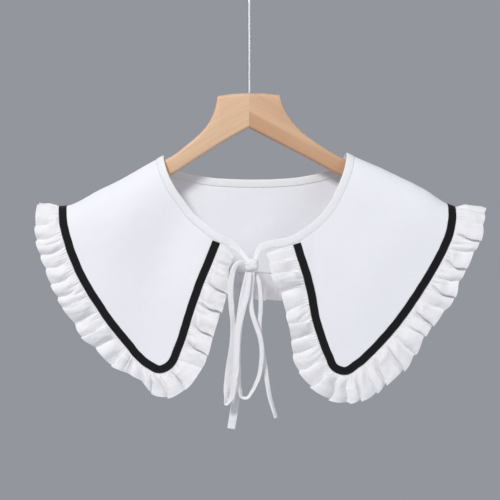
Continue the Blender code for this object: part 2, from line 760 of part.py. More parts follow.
def add_hanger():
    """The beech board, lofted through its sections, with a bore in its top for the hook."""
    sections = []
    for across, top, bottom in HANGER_SECTIONS:
        if abs(across) > ARM_SEAT_FROM:
            top = max(top, shoulder_below(across) + ARM_UNDER_COLLAR)
        sections.append(hanger_section(across, top, bottom))
    points = np.array(sections).reshape(-1, 3)
    ring = len(sections[0])
    faces = []
    for index in range(len(sections) - 1):
        for step in range(ring):
            a, b = index * ring + step, index * ring + (step + 1) % ring
            faces += [(a, b, b + ring), (a, b + ring, a + ring)]
    last = len(points) - ring
    for step in range(1, ring - 1):
        faces += [(0, step + 1, step), (last, last + step, last + step + 1)]
    board = add_object("hanger", points, facing_out(points, faces), BEECH)
    bpy.ops.mesh.primitive_cylinder_add(
        vertices=20,
        radius=(WIRE_RADIUS + BORE_CLEAR) * MM,
        depth=2 * BORE_DEEP * MM,
        location=(0.0, 0.0, -HUB_TOP * MM),
    )
    drill = bpy.context.object
    drill.name = "hook_bore"
    drill.hide_render = True
    drill.display_type = "WIRE"
    bore = board.modifiers.new("hook bore", "BOOLEAN")
    bore.object = drill
    bore.operation = "DIFFERENCE"


def hook_line():
    """The wire's middle from its foot in the hanger to the tip of the crook."""
    centre = -(CROOK_RADIUS - WIRE_RADIUS)
    rise = math.sqrt((CROOK_RADIUS + STEM_BEND) ** 2 - STEM_BEND**2)
    bend_level = centre - rise
    meet = math.asin(rise / (CROOK_RADIUS + STEM_BEND))
    points = [(0.0, -STEM_FOOT + step * (STEM_FOOT + bend_level) / 6) for step in range(6)]
    for step in range(9):
        turn = math.pi - meet * step / 8
        points.append((STEM_BEND + STEM_BEND * math.cos(turn), bend_level + STEM_BEND * math.sin(turn)))
    start = -meet
    for step in range(1, 37):
        turn = start + (CROOK_END - start) * step / 36
        points.append((CROOK_RADIUS * math.cos(turn), centre + CROOK_RADIUS * math.sin(turn)))
    return points


def add_hook():
    line = hook_line()
    curve = bpy.data.curves.new("hook", "CURVE")
    curve.dimensions = "3D"
    curve.bevel_depth = WIRE_RADIUS * MM
    curve.bevel_resolution = 2
    curve.use_fill_caps = True
    spline = curve.splines.new("POLY")
    spline.points.add(len(line) - 1)
    for point, (across, up) in zip(spline.points, line):
        point.co = (across * MM, 0.0, up * MM, 1.0)
    curve.materials.append(material("hook", *STEEL))
    bpy.context.scene.collection.objects.link(bpy.data.objects.new("hook", curve))


for old in list(bpy.data.objects):
    bpy.data.objects.remove(old)
add_panel_and_ribbon()
add_binding()
add_ruffles()
for strip_name, strip_rows in BOW_STRIPS.items():
    add_strip(strip_name, strip_rows, TIE_THICK, WHITE_COTTON)
add_knot()
add_hanger()
add_hook()
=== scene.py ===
"""A detachable cape collar of white cotton with a black ribbon, a gathered ruffle and a tie bow, on a
beech hanger. Sizes in the tables are millimetres. Across is measured to the right from the hook's
stem and below is measured down from the rail, so a point is at (across, depth, -below)."""

import math

import bpy
import numpy as np
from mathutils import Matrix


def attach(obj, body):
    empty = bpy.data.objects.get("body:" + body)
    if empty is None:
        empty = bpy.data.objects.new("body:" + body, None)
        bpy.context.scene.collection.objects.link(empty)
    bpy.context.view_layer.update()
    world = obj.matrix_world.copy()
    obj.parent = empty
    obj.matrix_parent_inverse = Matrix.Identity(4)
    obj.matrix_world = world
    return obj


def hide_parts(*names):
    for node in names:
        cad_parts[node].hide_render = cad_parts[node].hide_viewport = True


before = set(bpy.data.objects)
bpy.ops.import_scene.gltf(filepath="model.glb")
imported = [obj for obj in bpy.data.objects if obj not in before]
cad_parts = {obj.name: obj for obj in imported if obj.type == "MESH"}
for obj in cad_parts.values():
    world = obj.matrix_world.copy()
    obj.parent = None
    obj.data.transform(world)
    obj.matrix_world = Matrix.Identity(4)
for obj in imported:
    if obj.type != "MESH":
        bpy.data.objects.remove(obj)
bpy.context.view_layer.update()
MM = 0.001


# The camera looks straight at the collar's front from two metres, level with the middle of the
# neck ties, as one would photograph a garment on a rail.

VIEW_DISTANCE = 2.0
VIEW_WIDE = 0.5
CLOTH_FRONT = -0.025
VIEW_MIDDLE = (0.001, -0.298)

eye = bpy.data.objects.new("camera", bpy.data.cameras.new("camera"))
eye.data.sensor_width = 36.0
eye.data.lens = eye.data.sensor_width * VIEW_DISTANCE / VIEW_WIDE
eye.location = (VIEW_MIDDLE[0], CLOTH_FRONT - VIEW_DISTANCE, VIEW_MIDDLE[1])
eye.rotation_euler = (math.pi / 2, 0.0, 0.0)
bpy.context.scene.collection.objects.link(eye)
bpy.context.scene.camera = eye


# The hanger is a flat beech board, 12 mm thick, in two halves glued at a joint on its middle line,
# so that the grain runs down each arm. Its edges are sanded round and it has a clear satin varnish.

HANGER_THICK = 12.0
HANGER_EDGE = 3.2
LEAST_FLAT = 0.8
EDGE_STEPS = 6
HUB_CORNERS = (-31.6, 0.0, 31.0)
# Past this distance the arms lie just under the collar, and each arm slopes down at this angle
ARM_SEAT_FROM = 115.0
ARM_UNDER_COLLAR = 2.0
ARM_SLOPE = math.radians(29.0)
# The left board ends here, and its grain is cut from another place than the right one's
JOINT = -0.03
GRAIN_APART = 90.0

# Across, top below the rail, bottom below the rail
HANGER_SECTIONS = (
    (-177.0, 253.6, 262.0),
    (-174.0, 251.0, 266.0),
    (-165.0, 245.8, 264.6),
    (-145.0, 236.2, 255.8),
    (-120.0, 222.9, 243.6),
    (-98.0, 212.4, 232.0),
    (-75.1, 201.6, 220.2),
    (-64.8, 193.4, 213.6),
    (-52.6, 183.4, 205.6),
    (-39.3, 167.4, 197.2),
    (-34.6, 156.0, 194.2),
    (-31.6, 142.4, 192.2),
    (-16.3, 140.2, 183.2),
    (0.0, 139.5, 174.4),
    (16.0, 139.8, 182.6),
    (31.0, 141.4, 190.2),
    (34.4, 152.0, 191.9),
    (39.5, 161.6, 194.5),
    (51.6, 176.4, 200.9),
    (71.0, 191.4, 211.4),
    (90.4, 203.2, 221.9),
    (112.0, 212.4, 231.8),
    (140.0, 221.2, 242.0),
    (160.0, 230.2, 250.0),
    (174.0, 237.4, 252.6),
    (177.0, 240.6, 249.0),
)

# The highest line of the collar, which the arms carry: across, below
SHOULDER_LINE = (
    (-222.0, 252.0),
    (-213.6, 252.3),
    (-200.0, 253.5),
    (-188.0, 253.8),
    (-150.0, 236.4),
    (-86.5, 202.4),
    (-40.0, 177.5),
    (6.0, 163.0),
    (50.0, 177.5),
    (98.7, 199.8),
    (177.0, 236.1),
    (204.0, 252.8),
    (222.0, 257.5),
    (246.0, 263.0),
)


def linear(colour):
    """A linear colour from an sRGB hex value."""
    parts = [int(colour[at : at + 2], 16) / 255 for at in (0, 2, 4)]
    return [*(part / 12.92 if part <= 0.04045 else ((part + 0.055) / 1.055) ** 2.4 for part in parts), 1.0]


def new_material(name, settings):
    made = bpy.data.materials.new(name)
    made.use_nodes = True
    for socket, value in settings.items():
        made.node_tree.nodes["Principled BSDF"].inputs[socket].default_value = value
    return made


def add_node(material, kind, settings=(), links=()):
    """A node with its properties and socket values, and with a source for each linked input."""
    node = material.node_tree.nodes.new(kind)
    for name, value in dict(settings).items():
        if isinstance(name, int) or name in node.inputs:
            node.inputs[name].default_value = value
        else:
            setattr(node, name, value)
    for name, source in dict(links).items():
        material.node_tree.links.new(source, node.inputs[name])
    return node


def finish_material(material, links):
    """Links sources to the shader's own inputs."""
    shader = material.node_tree.nodes["Principled BSDF"]
    for name, source in links.items():
        material.node_tree.links.new(source, shader.inputs[name])


def smooth(points, steps=10):
    """Points along a smooth curve through the given ones, whose slope is shared where they meet."""
    points = np.asarray(points, float)
    gaps = np.linalg.norm(np.diff(points, axis=0), axis=1)
    slope = np.gradient(points, np.concatenate([[0.0], np.cumsum(gaps)]), axis=0)
    t = (np.arange(steps) / steps)[:, None]
    pieces = []
    for index, gap in enumerate(gaps):
        start, end = points[index], points[index + 1]
        leave, arrive = slope[index] * gap, slope[index + 1] * gap
        bend = (2 * t**3 - 3 * t**2 + 1) * start + (t**3 - 2 * t**2 + t) * leave
        pieces.append(bend + (3 * t**2 - 2 * t**3) * end + (t**3 - t**2) * arrive)
    pieces.append(points[-1:])
    return np.concatenate(pieces)


SHOULDER = smooth(SHOULDER_LINE, 16)


def shoulder_below(across):
    return np.interp(across, SHOULDER[:, 0], SHOULDER[:, 1])


def add_mesh(name, points, faces, flat, material, crease=40.0):
    """A piece from points in millimetres. Flat is each point's place on the uncut stuff, in millimetres
    too, which lays the grain or the weave. Edges sharper than crease stay sharp."""
    mesh = bpy.data.meshes.new(name)
    mesh.from_pydata((np.asarray(points) * MM).tolist(), [], faces)
    corner = np.empty(len(mesh.loops), int)
    mesh.loops.foreach_get("vertex_index", corner)
    layer = mesh.uv_layers.new(name="flat")
    layer.data.foreach_set("uv", (np.asarray(flat)[corner] * MM).ravel())
    mesh.materials.append(material)
    mesh.shade_smooth()
    mesh.set_sharp_from_angle(angle=math.radians(crease))
    made = bpy.data.objects.new(name, mesh)
    bpy.context.scene.collection.objects.link(made)
    return made


def patches(long, wide):
    """A mapping that makes a noise of scale 1 into patches of this length and width in millimetres."""
    return {"Scale": (1 / (long * MM), 1 / (wide * MM), 1.0)}


def board_material():
    """Beech under satin varnish: a warm tan with faint lengthwise grain and short flecks. The left half
    is from a paler board than the right one, whose heartwood shows browner beside the joint."""
    beech = new_material("varnished_beech", {"Roughness": 0.45, "Coat Weight": 0.15, "Coat Roughness": 0.35})
    place = add_node(beech, "ShaderNodeTexCoord")
    flat = place.outputs["UV"]
    # Grain lines about 60 mm long, each pair of a dark and a pale one 1.6 mm wide
    stretched = add_node(beech, "ShaderNodeMapping", patches(62.5, 1.613), {"Vector": flat})
    settings = {"Scale": 1.0, "Detail": 3.0, "Roughness": 0.5, "Distortion": 0.6}
    grain = add_node(beech, "ShaderNodeTexNoise", settings, {"Vector": stretched.outputs[0]})
    # Flecks 0.4 mm wide and 2 to 3 mm long
    small = add_node(beech, "ShaderNodeMapping", patches(2.381, 0.3846), {"Vector": flat})
    fleck = add_node(beech, "ShaderNodeTexNoise", {"Scale": 1.0, "Detail": 1.0}, {"Vector": small.outputs[0]})
    # Broad bands of paler and darker wood, about 110 mm long and 18 mm wide
    broad = add_node(beech, "ShaderNodeMapping", patches(111.11, 18.182), {"Vector": flat})
    board = add_node(beech, "ShaderNodeTexNoise", {"Scale": 1.0, "Detail": 2.0}, {"Vector": broad.outputs[0]})
    settings = {"From Min": 0.3, "From Max": 0.75}
    by_grain = add_node(beech, "ShaderNodeMapRange", settings, {"Value": grain.outputs["Fac"]})
    settings = {"data_type": "RGBA", 6: linear("E5C19F"), 7: linear("DBB38D")}
    pale = add_node(beech, "ShaderNodeMix", settings, {0: by_grain.outputs[0]})
    sides = add_node(beech, "ShaderNodeSeparateXYZ", (), {0: place.outputs["Object"]})
    settings = {"operation": "GREATER_THAN", 1: 0.0}
    right = add_node(beech, "ShaderNodeMath", settings, {0: sides.outputs["X"]})
    settings = {"From Min": 0.35, "From Max": 0.68, "To Min": 0.1, "To Max": 0.45}
    by_board = add_node(beech, "ShaderNodeMapRange", settings, {"Value": board.outputs["Fac"]})
    links = {0: right.outputs[0], 1: by_board.outputs[0]}
    tinted = add_node(beech, "ShaderNodeMath", {"operation": "MULTIPLY"}, links)
    settings = {"data_type": "RGBA", 7: linear("BD8A64")}
    warm = add_node(beech, "ShaderNodeMix", settings, {0: tinted.outputs[0], 6: pale.outputs[2]})
    # The right board is browner below its outermost 10 mm, which are paler sapwood
    board_wide = add_node(beech, "ShaderNodeSeparateXYZ", (), {0: flat})
    settings = {"operation": "MULTIPLY_ADD", 1: 0.006}
    links = {0: board.outputs["Fac"], 2: board_wide.outputs["Y"]}
    uneven = add_node(beech, "ShaderNodeMath", settings, links)
    settings = {"From Min": 0.2245, "From Max": 0.2285, "To Max": 0.45}
    by_heart = add_node(beech, "ShaderNodeMapRange", settings, {"Value": uneven.outputs[0]})
    links = {0: right.outputs[0], 1: by_heart.outputs[0]}
    kept = add_node(beech, "ShaderNodeMath", {"operation": "MULTIPLY"}, links)
    settings = {"data_type": "RGBA", 7: linear("B9845E")}
    patched = add_node(beech, "ShaderNodeMix", settings, {0: kept.outputs[0], 6: warm.outputs[2]})
    settings = {"From Min": 0.64, "From Max": 0.78, "To Max": 0.3}
    by_fleck = add_node(beech, "ShaderNodeMapRange", settings, {"Value": fleck.outputs["Fac"]})
    settings = {"data_type": "RGBA", 7: linear("A5764F")}
    links = {0: by_fleck.outputs[0], 6: patched.outputs[2]}
    flecked = add_node(beech, "ShaderNodeMix", settings, links)
    settings = {"Strength": 0.06, "Distance": 0.0002}
    raised = add_node(beech, "ShaderNodeBump", settings, {"Height": grain.outputs["Fac"]})
    finish_material(beech, {"Base Color": flecked.outputs[2], "Normal": raised.outputs[0]})
    return beech


def board_section(across, top, bottom):
    """The board's section at one place across: two flat faces and four sanded edges."""
    half = HANGER_THICK / 2
    edge = min(HANGER_EDGE, (bottom - top - LEAST_FLAT) / 2)
    points = []
    for corner in range(4):
        y_side = 1 if corner in (0, 3) else -1
        z_side = 1 if corner in (0, 1) else -1
        middle = (y_side * (half - edge), -(top + bottom) / 2 + z_side * ((bottom - top) / 2 - edge))
        for step in range(EDGE_STEPS + 1):
            angle = math.radians(90 * (corner + step / EDGE_STEPS))
            points.append((across, middle[0] + edge * math.cos(angle), middle[1] + edge * math.sin(angle)))
    return points


def board_table():
    """The sections on smooth curves, but with the corners at the ends of the hub's top and under its
    middle kept."""
    table = np.array(HANGER_SECTIONS)
    corners = [0, *np.nonzero(np.isin(table[:, 0], HUB_CORNERS))[0], len(table) - 1]
    runs = [smooth(table[a : b + 1], 6)[:-1] for a, b in zip(corners, corners[1:])]
    return np.concatenate([*runs, table[-1:]])


def add_board(material):
    sections = []
    for across, top, bottom in board_table():
        if abs(across) > ARM_SEAT_FROM:
            top = max(top, shoulder_below(across) + ARM_UNDER_COLLAR)
        if across == 0.0:
            sections.append(board_section(JOINT, top, bottom))
        sections.append(board_section(across, top, bottom))
    points = np.array(sections).reshape(-1, 3)
    ring = len(sections[0])
    last = len(points) - ring
    faces = [tuple(range(ring)), tuple(range(last + ring - 1, last - 1, -1))]
    for index in range(len(sections) - 1):
        for step in range(ring):
            a, b = index * ring + step, index * ring + (step + 1) % ring
            faces.append((a, a + ring, b + ring, b))
    # The grain follows each arm down from the joint, and the depth shifts it on the board's edges
    side = np.where(points[:, 0] < 0, -1.0, 1.0)
    down, aside = -points[:, 2], points[:, 0] * side
    along = aside * math.cos(ARM_SLOPE) + down * math.sin(ARM_SLOPE)
    over = down * math.cos(ARM_SLOPE) - aside * math.sin(ARM_SLOPE)
    flat = np.stack([along * side, over + 0.5 * points[:, 1] + GRAIN_APART * side], axis=1)
    return add_mesh("beech_board", points, faces, flat, material, 55.0)


board = add_board(board_material())
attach(board, "root")
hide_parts("hanger")


# The hook is one length of zinc-plated steel wire, 3.8 mm thick, screwed into the hub. It bends
# aside and goes round in a crook over the rail, and its end is rounded.

WIRE_RADIUS = 1.9
CROOK_RADIUS = 20.0
STEM_BEND = 12.0
STEM_FOOT = 157.0
CROOK_END = math.radians(196.0)
STEM_STEPS = 12
BEND_STEPS = 16
CROOK_STEPS = 72
# Shares of the wire's radius at its last points
TIP_SHARES = (0.94, 0.75, 0.4)


def wire_material():
    """Zinc-plated wire: a pale grey metal, drawn lengthwise, with a slightly clouded shine."""
    zinc = new_material("zinc_plated_wire", {"Base Color": linear("DEE0E4"), "Metallic": 1.0})
    place = add_node(zinc, "ShaderNodeTexCoord").outputs["Object"]
    # Clouds about 8 mm long
    settings = {"Scale": 1 / (8.333 * MM), "Detail": 3.0}
    cloud = add_node(zinc, "ShaderNodeTexNoise", settings, {"Vector": place})
    settings = {"To Min": 0.26, "To Max": 0.42}
    dulled = add_node(zinc, "ShaderNodeMapRange", settings, {"Value": cloud.outputs["Fac"]})
    finish_material(zinc, {"Roughness": dulled.outputs[0]})
    return zinc


def hook_line():
    """The wire's middle from its foot in the hanger to the tip of the crook: across, up."""
    centre = -(CROOK_RADIUS - WIRE_RADIUS)
    rise = math.sqrt((CROOK_RADIUS + STEM_BEND) ** 2 - STEM_BEND**2)
    bend_level = centre - rise
    meet = math.asin(rise / (CROOK_RADIUS + STEM_BEND))
    stem_step = (STEM_FOOT + bend_level) / STEM_STEPS
    points = [(0.0, step * stem_step - STEM_FOOT) for step in range(STEM_STEPS)]
    for step in range(BEND_STEPS + 1):
        turn = math.pi - meet * step / BEND_STEPS
        points.append((STEM_BEND + STEM_BEND * math.cos(turn), bend_level + STEM_BEND * math.sin(turn)))
    for step in range(1, CROOK_STEPS + 1):
        turn = -meet + (CROOK_END + meet) * step / CROOK_STEPS
        points.append((CROOK_RADIUS * math.cos(turn), centre + CROOK_RADIUS * math.sin(turn)))
    return points


def add_wire(material):
    """The wire as a round tube, whose last points draw its end in to a dome."""
    line = hook_line()
    curve = bpy.data.curves.new("hook_wire", "CURVE")
    curve.dimensions = "3D"
    curve.bevel_depth = WIRE_RADIUS * MM
    curve.bevel_resolution = 6
    curve.use_fill_caps = True
    spline = curve.splines.new("POLY")
    spline.points.add(len(line) - 1)
    for point, (across, up) in zip(spline.points, line):
        point.co = (across * MM, 0.0, up * MM, 1.0)
    for back, share in enumerate(reversed(TIP_SHARES), 1):
        spline.points[-back].radius = share
    curve.materials.append(material)
    made = bpy.data.objects.new("hook_wire", curve)
    bpy.context.scene.collection.objects.link(made)
    return made


wire = add_wire(wire_material())
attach(wire, "root")
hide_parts("hook")


# The panel is one cut of white cotton poplin that lies over both shoulders and the back of the neck
# and ends in two long points in front. It is starched and pressed, and hangs in a few soft hollows.

CREST_BEND = 14.0
HANG_ANGLE = math.radians(87.5)
LONGEST_DROP = 420.0
DROP_STEP = 0.2
SOFT_FOLDS_FROM = 30.0
LEFT_NECK_POINT = -86.5
RIGHT_NECK_POINT = 98.7
BINDING_WIDE = 8.0
RIBBON_WIDE = 8.0
SEAM_GAP = 0.3
POPLIN = 0.5
# How far the panel's edges are from the binding's lower edge and the ribbon's outer one
PANEL_CLEAR = 0.1
# Gentle unevenness of the pressed panel: height, length of its waves, seed of its pattern
PANEL_SWELLS = ((0.55, 62.0, 4), (0.12, 17.0, 5))
# They end at this share of the way from the binding to the ribbon
SWELLS_END = 0.92

# The middle of the ribbon on each front and on the back: across, below
LEFT_RIBBON = (
    (-32.7, 289.7),
    (-38.5, 304.6),
    (-49.2, 330.7),
    (-60.0, 361.3),
    (-69.3, 391.2),
    (-80.7, 414.4),
    (-88.4, 418.0),
    (-98.6, 414.1),
    (-109.4, 405.9),
    (-121.2, 391.8),
    (-146.1, 359.5),
    (-167.8, 323.7),
    (-180.4, 293.1),
    (-186.8, 268.6),
)
RIGHT_RIBBON = (
    (47.9, 291.6),
    (51.6, 303.7),
    (58.0, 323.5),
    (62.3, 340.9),
    (66.5, 364.1),
    (72.3, 384.0),
    (78.9, 402.2),
    (85.5, 415.0),
    (93.8, 418.8),
    (107.1, 412.2),
    (127.0, 394.0),
    (145.2, 374.0),
    (163.5, 349.2),
    (178.4, 326.0),
    (191.7, 302.7),
    (201.0, 281.2),
    (204.4, 264.6),
)
BACK_RIBBON = (
    (-187.0, 272.0),
    (-178.0, 293.0),
    (-157.0, 307.0),
    (-110.0, 314.0),
    (-50.0, 316.0),
    (6.0, 316.5),
    (64.0, 316.0),
    (124.0, 314.0),
    (172.0, 307.0),
    (194.0, 293.0),
    (203.0, 272.0),
)
LEFT_RIBBON_TOP = -188.0
RIGHT_RIBBON_TOP = 204.2

# The upper edge of the neck binding: across, below
LEFT_NECK_EDGE = (
    (0.3, 303.4),
    (-5.6, 298.4),
    (-10.6, 292.6),
    (-17.4, 287.0),
    (-28.6, 281.9),
    (-41.9, 272.7),
    (-55.1, 261.5),
    (-65.3, 248.2),
    (-75.8, 232.7),
    (-84.0, 213.2),
)
RIGHT_NECK_EDGE = (
    (4.2, 305.6),
    (5.6, 300.2),
    (9.4, 293.6),
    (17.0, 289.4),
    (32.5, 286.6),
    (45.2, 282.7),
    (56.0, 275.7),
    (65.4, 268.6),
    (78.0, 254.5),
    (88.2, 235.4),
    (96.4, 214.0),
)
BACK_NECK_EDGE = (
    (-79.0, 214.0),
    (-62.0, 220.0),
    (-35.0, 224.5),
    (6.0, 226.0),
    (47.0, 224.0),
    (74.0, 219.0),
    (91.0, 212.5),
)

# Soft, broad hollows and swells in the hanging cloth
SOFT_FOLDS = (
    # side, across, below, half length, half width, tilt, depth
    (-1, -74.0, 284.0, 56.0, 27.0, -0.30, -6.4),
    (-1, -96.0, 392.0, 78.0, 52.0, 0.0, -8.0),
    (-1, -18.0, 350.0, 74.0, 22.0, -0.36, -6.0),
    (-1, -124.0, 262.0, 44.0, 22.0, -0.30, 2.0),
    (-1, -120.0, 372.0, 40.0, 22.0, 0.50, 1.2),
    (-1, 66.0, 306.0, 26.0, 7.0, 0.05, -0.9),
    (-1, 120.0, 330.0, 70.0, 30.0, -0.30, 1.6),
    (1, -95.0, 270.0, 48.0, 20.0, -0.25, 2.4),
    (1, -30.0, 280.0, 44.0, 18.0, -0.08, -1.8),
    (1, 46.0, 278.0, 44.0, 20.0, 0.10, 2.2),
    (1, 118.0, 272.0, 46.0, 18.0, 0.28, -2.0),
)

# Columns of the panel in each stretch, and its rows from the binding to the ribbon
PANEL_COLUMNS = (45, 45, 50, 60, 40, 90, 40, 60, 50, 45, 45)
PANEL_ROWS = 40
ROUND_CREST = 26.0
POINT_SHARE = 0.4
POINT_HALF = 24.0
BACK_CORNER = 62.0
CORNER_OUT = 4.0
RIPPLE_WAVES = 7


def ease(value):
    """0 to 1 with no corner at either end."""
    value = np.clip(value, 0.0, 1.0)
    return value * value * (3 - 2 * value)


def hanging_profile():
    """How far out and how far down the cloth is, for each distance over it from the shoulder line."""
    over = np.arange(0.0, LONGEST_DROP + DROP_STEP, DROP_STEP)
    angle = HANG_ANGLE * (1 - np.exp(-over / CREST_BEND))
    middle = angle[1:] - 0.5 * np.diff(angle)
    out = np.concatenate([[0.0], np.cumsum(np.cos(middle))]) * DROP_STEP
    drop = np.concatenate([[0.0], np.cumsum(np.sin(middle))]) * DROP_STEP
    return over, out, drop


OVER, OUT, DROP = hanging_profile()


def relief(across, below, front):
    """How far the soft folds move the hanging cloth outward."""
    total = np.zeros_like(across)
    for side, at, level, half_long, half_wide, tilt, depth in SOFT_FOLDS:
        down = below - level
        aside = across - at - tilt * down
        bump = depth * np.exp(-((aside / half_wide) ** 2) - (down / half_long) ** 2)
        total += np.where(front == (side < 0), bump, 0.0)
    return total


def surface(spots):
    """The place in space of spots on the cloth, each given as across and over the shoulder line.
    Over is positive in front and negative behind."""
    across, over = spots[..., 0], spots[..., 1]
    out = np.interp(np.abs(over), OVER, OUT)
    below = shoulder_below(across) + np.interp(np.abs(over), OVER, DROP)
    out = out + relief(across, below, over > 0) * ease(np.abs(over) / SOFT_FOLDS_FROM)
    return np.stack([across, -np.sign(over) * out, -below], axis=-1)


def front_spots(points, side=1):
    """Spots on the cloth for points seen from the front or, with side -1, from behind."""
    points = np.asarray(points, float)
    drop = np.maximum(points[:, 1] - shoulder_below(points[:, 0]), 0.0)
    return np.stack([points[:, 0], side * np.interp(drop, DROP, OVER)], axis=1)


def nearest_spots(places):
    """The spot on the cloth nearest each place in space."""
    drop = -places[:, 2] - shoulder_below(places[:, 0])
    apart = (np.abs(places[:, 1])[:, None] - OUT) ** 2 + (drop[:, None] - DROP) ** 2
    side = np.where(places[:, 1] > 0, -1.0, 1.0)
    return np.stack([places[:, 0], side * OVER[np.argmin(apart, axis=1)]], axis=1)


def unit(vectors):
    return vectors / np.linalg.norm(vectors, axis=-1, keepdims=True)


def lengths(places):
    """Distance along a row of places in space."""
    return np.concatenate([[0.0], np.cumsum(np.linalg.norm(np.diff(places, axis=0), axis=1))])


def pick(rows, at, wanted):
    """Rows read off at the wanted values of at, which may be a line or a grid of them."""
    return np.stack([np.interp(wanted, at, rows[:, k]) for k in range(rows.shape[1])], axis=-1)


def outward(spots):
    """The cloth's outward direction at each spot."""
    aside = surface(spots + [DROP_STEP, 0.0]) - surface(spots - [DROP_STEP, 0.0])
    along = surface(spots + [0.0, DROP_STEP]) - surface(spots - [0.0, DROP_STEP])
    return unit(np.cross(along, aside))


def beside(spots, distance):
    """The curve that runs this far beside another on the cloth, away from the neck."""
    places = surface(spots)
    heading = unit(np.gradient(places, axis=0))
    aside = np.cross(outward(spots), heading)
    return nearest_spots(places + aside * distance)


def settle(values, passes=3):
    """A row of values with its small steps smoothed out and its ends kept."""
    values = values.copy()
    for _ in range(passes):
        values[1:-1] = 0.25 * values[:-2] + 0.5 * values[1:-1] + 0.25 * values[2:]
    return values


def grid_normals(grid):
    """The outward direction at each point of a grid, from its neighbours."""
    return unit(np.cross(np.gradient(grid, axis=1), np.gradient(grid, axis=0)))


def join_round(left, left_top, back, right_top, right):
    """A curve on the cloth from the left front corner by the back to the right one, and its lengths."""
    over_left, over_right = [[left_top, 0.0]], [[right_top, 0.0]]
    rows = [front_spots(left), over_left, front_spots(back, side=-1), over_right, front_spots(right)[::-1]]
    spots = smooth(np.concatenate(rows))
    return spots, lengths(surface(spots))


NECK, NECK_AT = join_round(LEFT_NECK_EDGE, LEFT_NECK_POINT, BACK_NECK_EDGE, RIGHT_NECK_POINT, RIGHT_NECK_EDGE)
RIBBON, RIBBON_AT = join_round(LEFT_RIBBON, LEFT_RIBBON_TOP, BACK_RIBBON, RIGHT_RIBBON_TOP, RIGHT_RIBBON)


def crest_distances(spots, at):
    """The two distances along a curve at which it crosses the shoulder line."""
    crossing = np.nonzero(np.diff(np.sign(spots[:, 1])))[0]
    return at[crossing[0]], at[crossing[-1] + 1]


def spread(stops, counts):
    """Distances that step evenly between stops, the given number of times in each stretch."""
    runs = [np.linspace(a, b, count, endpoint=False) for a, b, count in zip(stops, stops[1:], counts)]
    return np.concatenate([*runs, stops[-1:]])


def column_stops(spots, at, first, last, point_half, corner_long):
    """Stretches of a curve, with short columns round each point, over the shoulder and round the back
    corners."""
    left, right = crest_distances(spots, at)
    left_point = first + (left - first) * POINT_SHARE
    right_point = last + (right - last) * POINT_SHARE
    stops = [first, left_point - point_half, left_point + point_half, left - ROUND_CREST, left + ROUND_CREST]
    stops += [left + ROUND_CREST + corner_long, right - ROUND_CREST - corner_long]
    stops += [right - ROUND_CREST, right + ROUND_CREST, right_point - point_half, right_point + point_half]
    return [*stops, last]


def panel_neck_columns():
    """Distances along the neck edge of the panel's columns, which start just past the spot where the
    ribbon's inner edge meets the binding at each front corner."""
    lower = surface(beside(NECK, BINDING_WIDE + SEAM_GAP))
    ribbon_ends = surface(beside(RIBBON, -RIBBON_WIDE / 2))[[0, -1]]
    first, last = (NECK_AT[np.argmin(np.linalg.norm(lower - end, axis=1))] for end in ribbon_ends)
    first, last = first - CORNER_OUT, last + CORNER_OUT
    return spread(column_stops(NECK, NECK_AT, first, last, POINT_HALF / 3, BACK_CORNER / 3), PANEL_COLUMNS)


def ripple(x, y, long, seed):
    """An uneven swell of about -1 to 1 over x and y, made of waves of about this length."""
    random = np.random.default_rng(seed)
    total = np.zeros(np.broadcast(x, y).shape)
    for _ in range(RIPPLE_WAVES):
        turn, phase = random.uniform(0, 2 * math.pi, 2)
        pace = 2 * math.pi / (long * random.uniform(0.7, 1.6))
        total += np.sin(pace * (x * math.cos(turn) + y * math.sin(turn)) + phase)
    return total / (RIPPLE_WAVES / 2)


def add_cloth(name, outer, inner, flat, material):
    """A closed piece of cloth between two grids of the same rows and columns."""
    rows, columns = outer.shape[:2]
    count = rows * columns
    a = (np.arange(rows - 1)[:, None] * columns + np.arange(columns - 1)).ravel()
    front = np.stack([a, a + 1, a + columns + 1, a + columns], axis=1)
    back = count + front[:, ::-1]
    rim = np.concatenate(
        [
            np.arange(columns),
            np.arange(1, rows) * columns + columns - 1,
            (rows - 1) * columns + np.arange(columns - 2, -1, -1),
            np.arange(rows - 2, 0, -1) * columns,
        ]
    )
    onward = np.roll(rim, -1)
    edge = np.stack([rim, count + rim, count + onward, onward], axis=1)
    points = np.concatenate([outer.reshape(-1, 3), inner.reshape(-1, 3)])
    faces = np.concatenate([front, back, edge]).tolist()
    flat = flat.reshape(-1, 2)
    return add_mesh(name, points, faces, np.concatenate([flat, flat]), material)


def bands(apart):
    """The scale of a wave pattern along X or Y with this many millimetres from band to band."""
    return math.pi / 10 / (apart * MM)


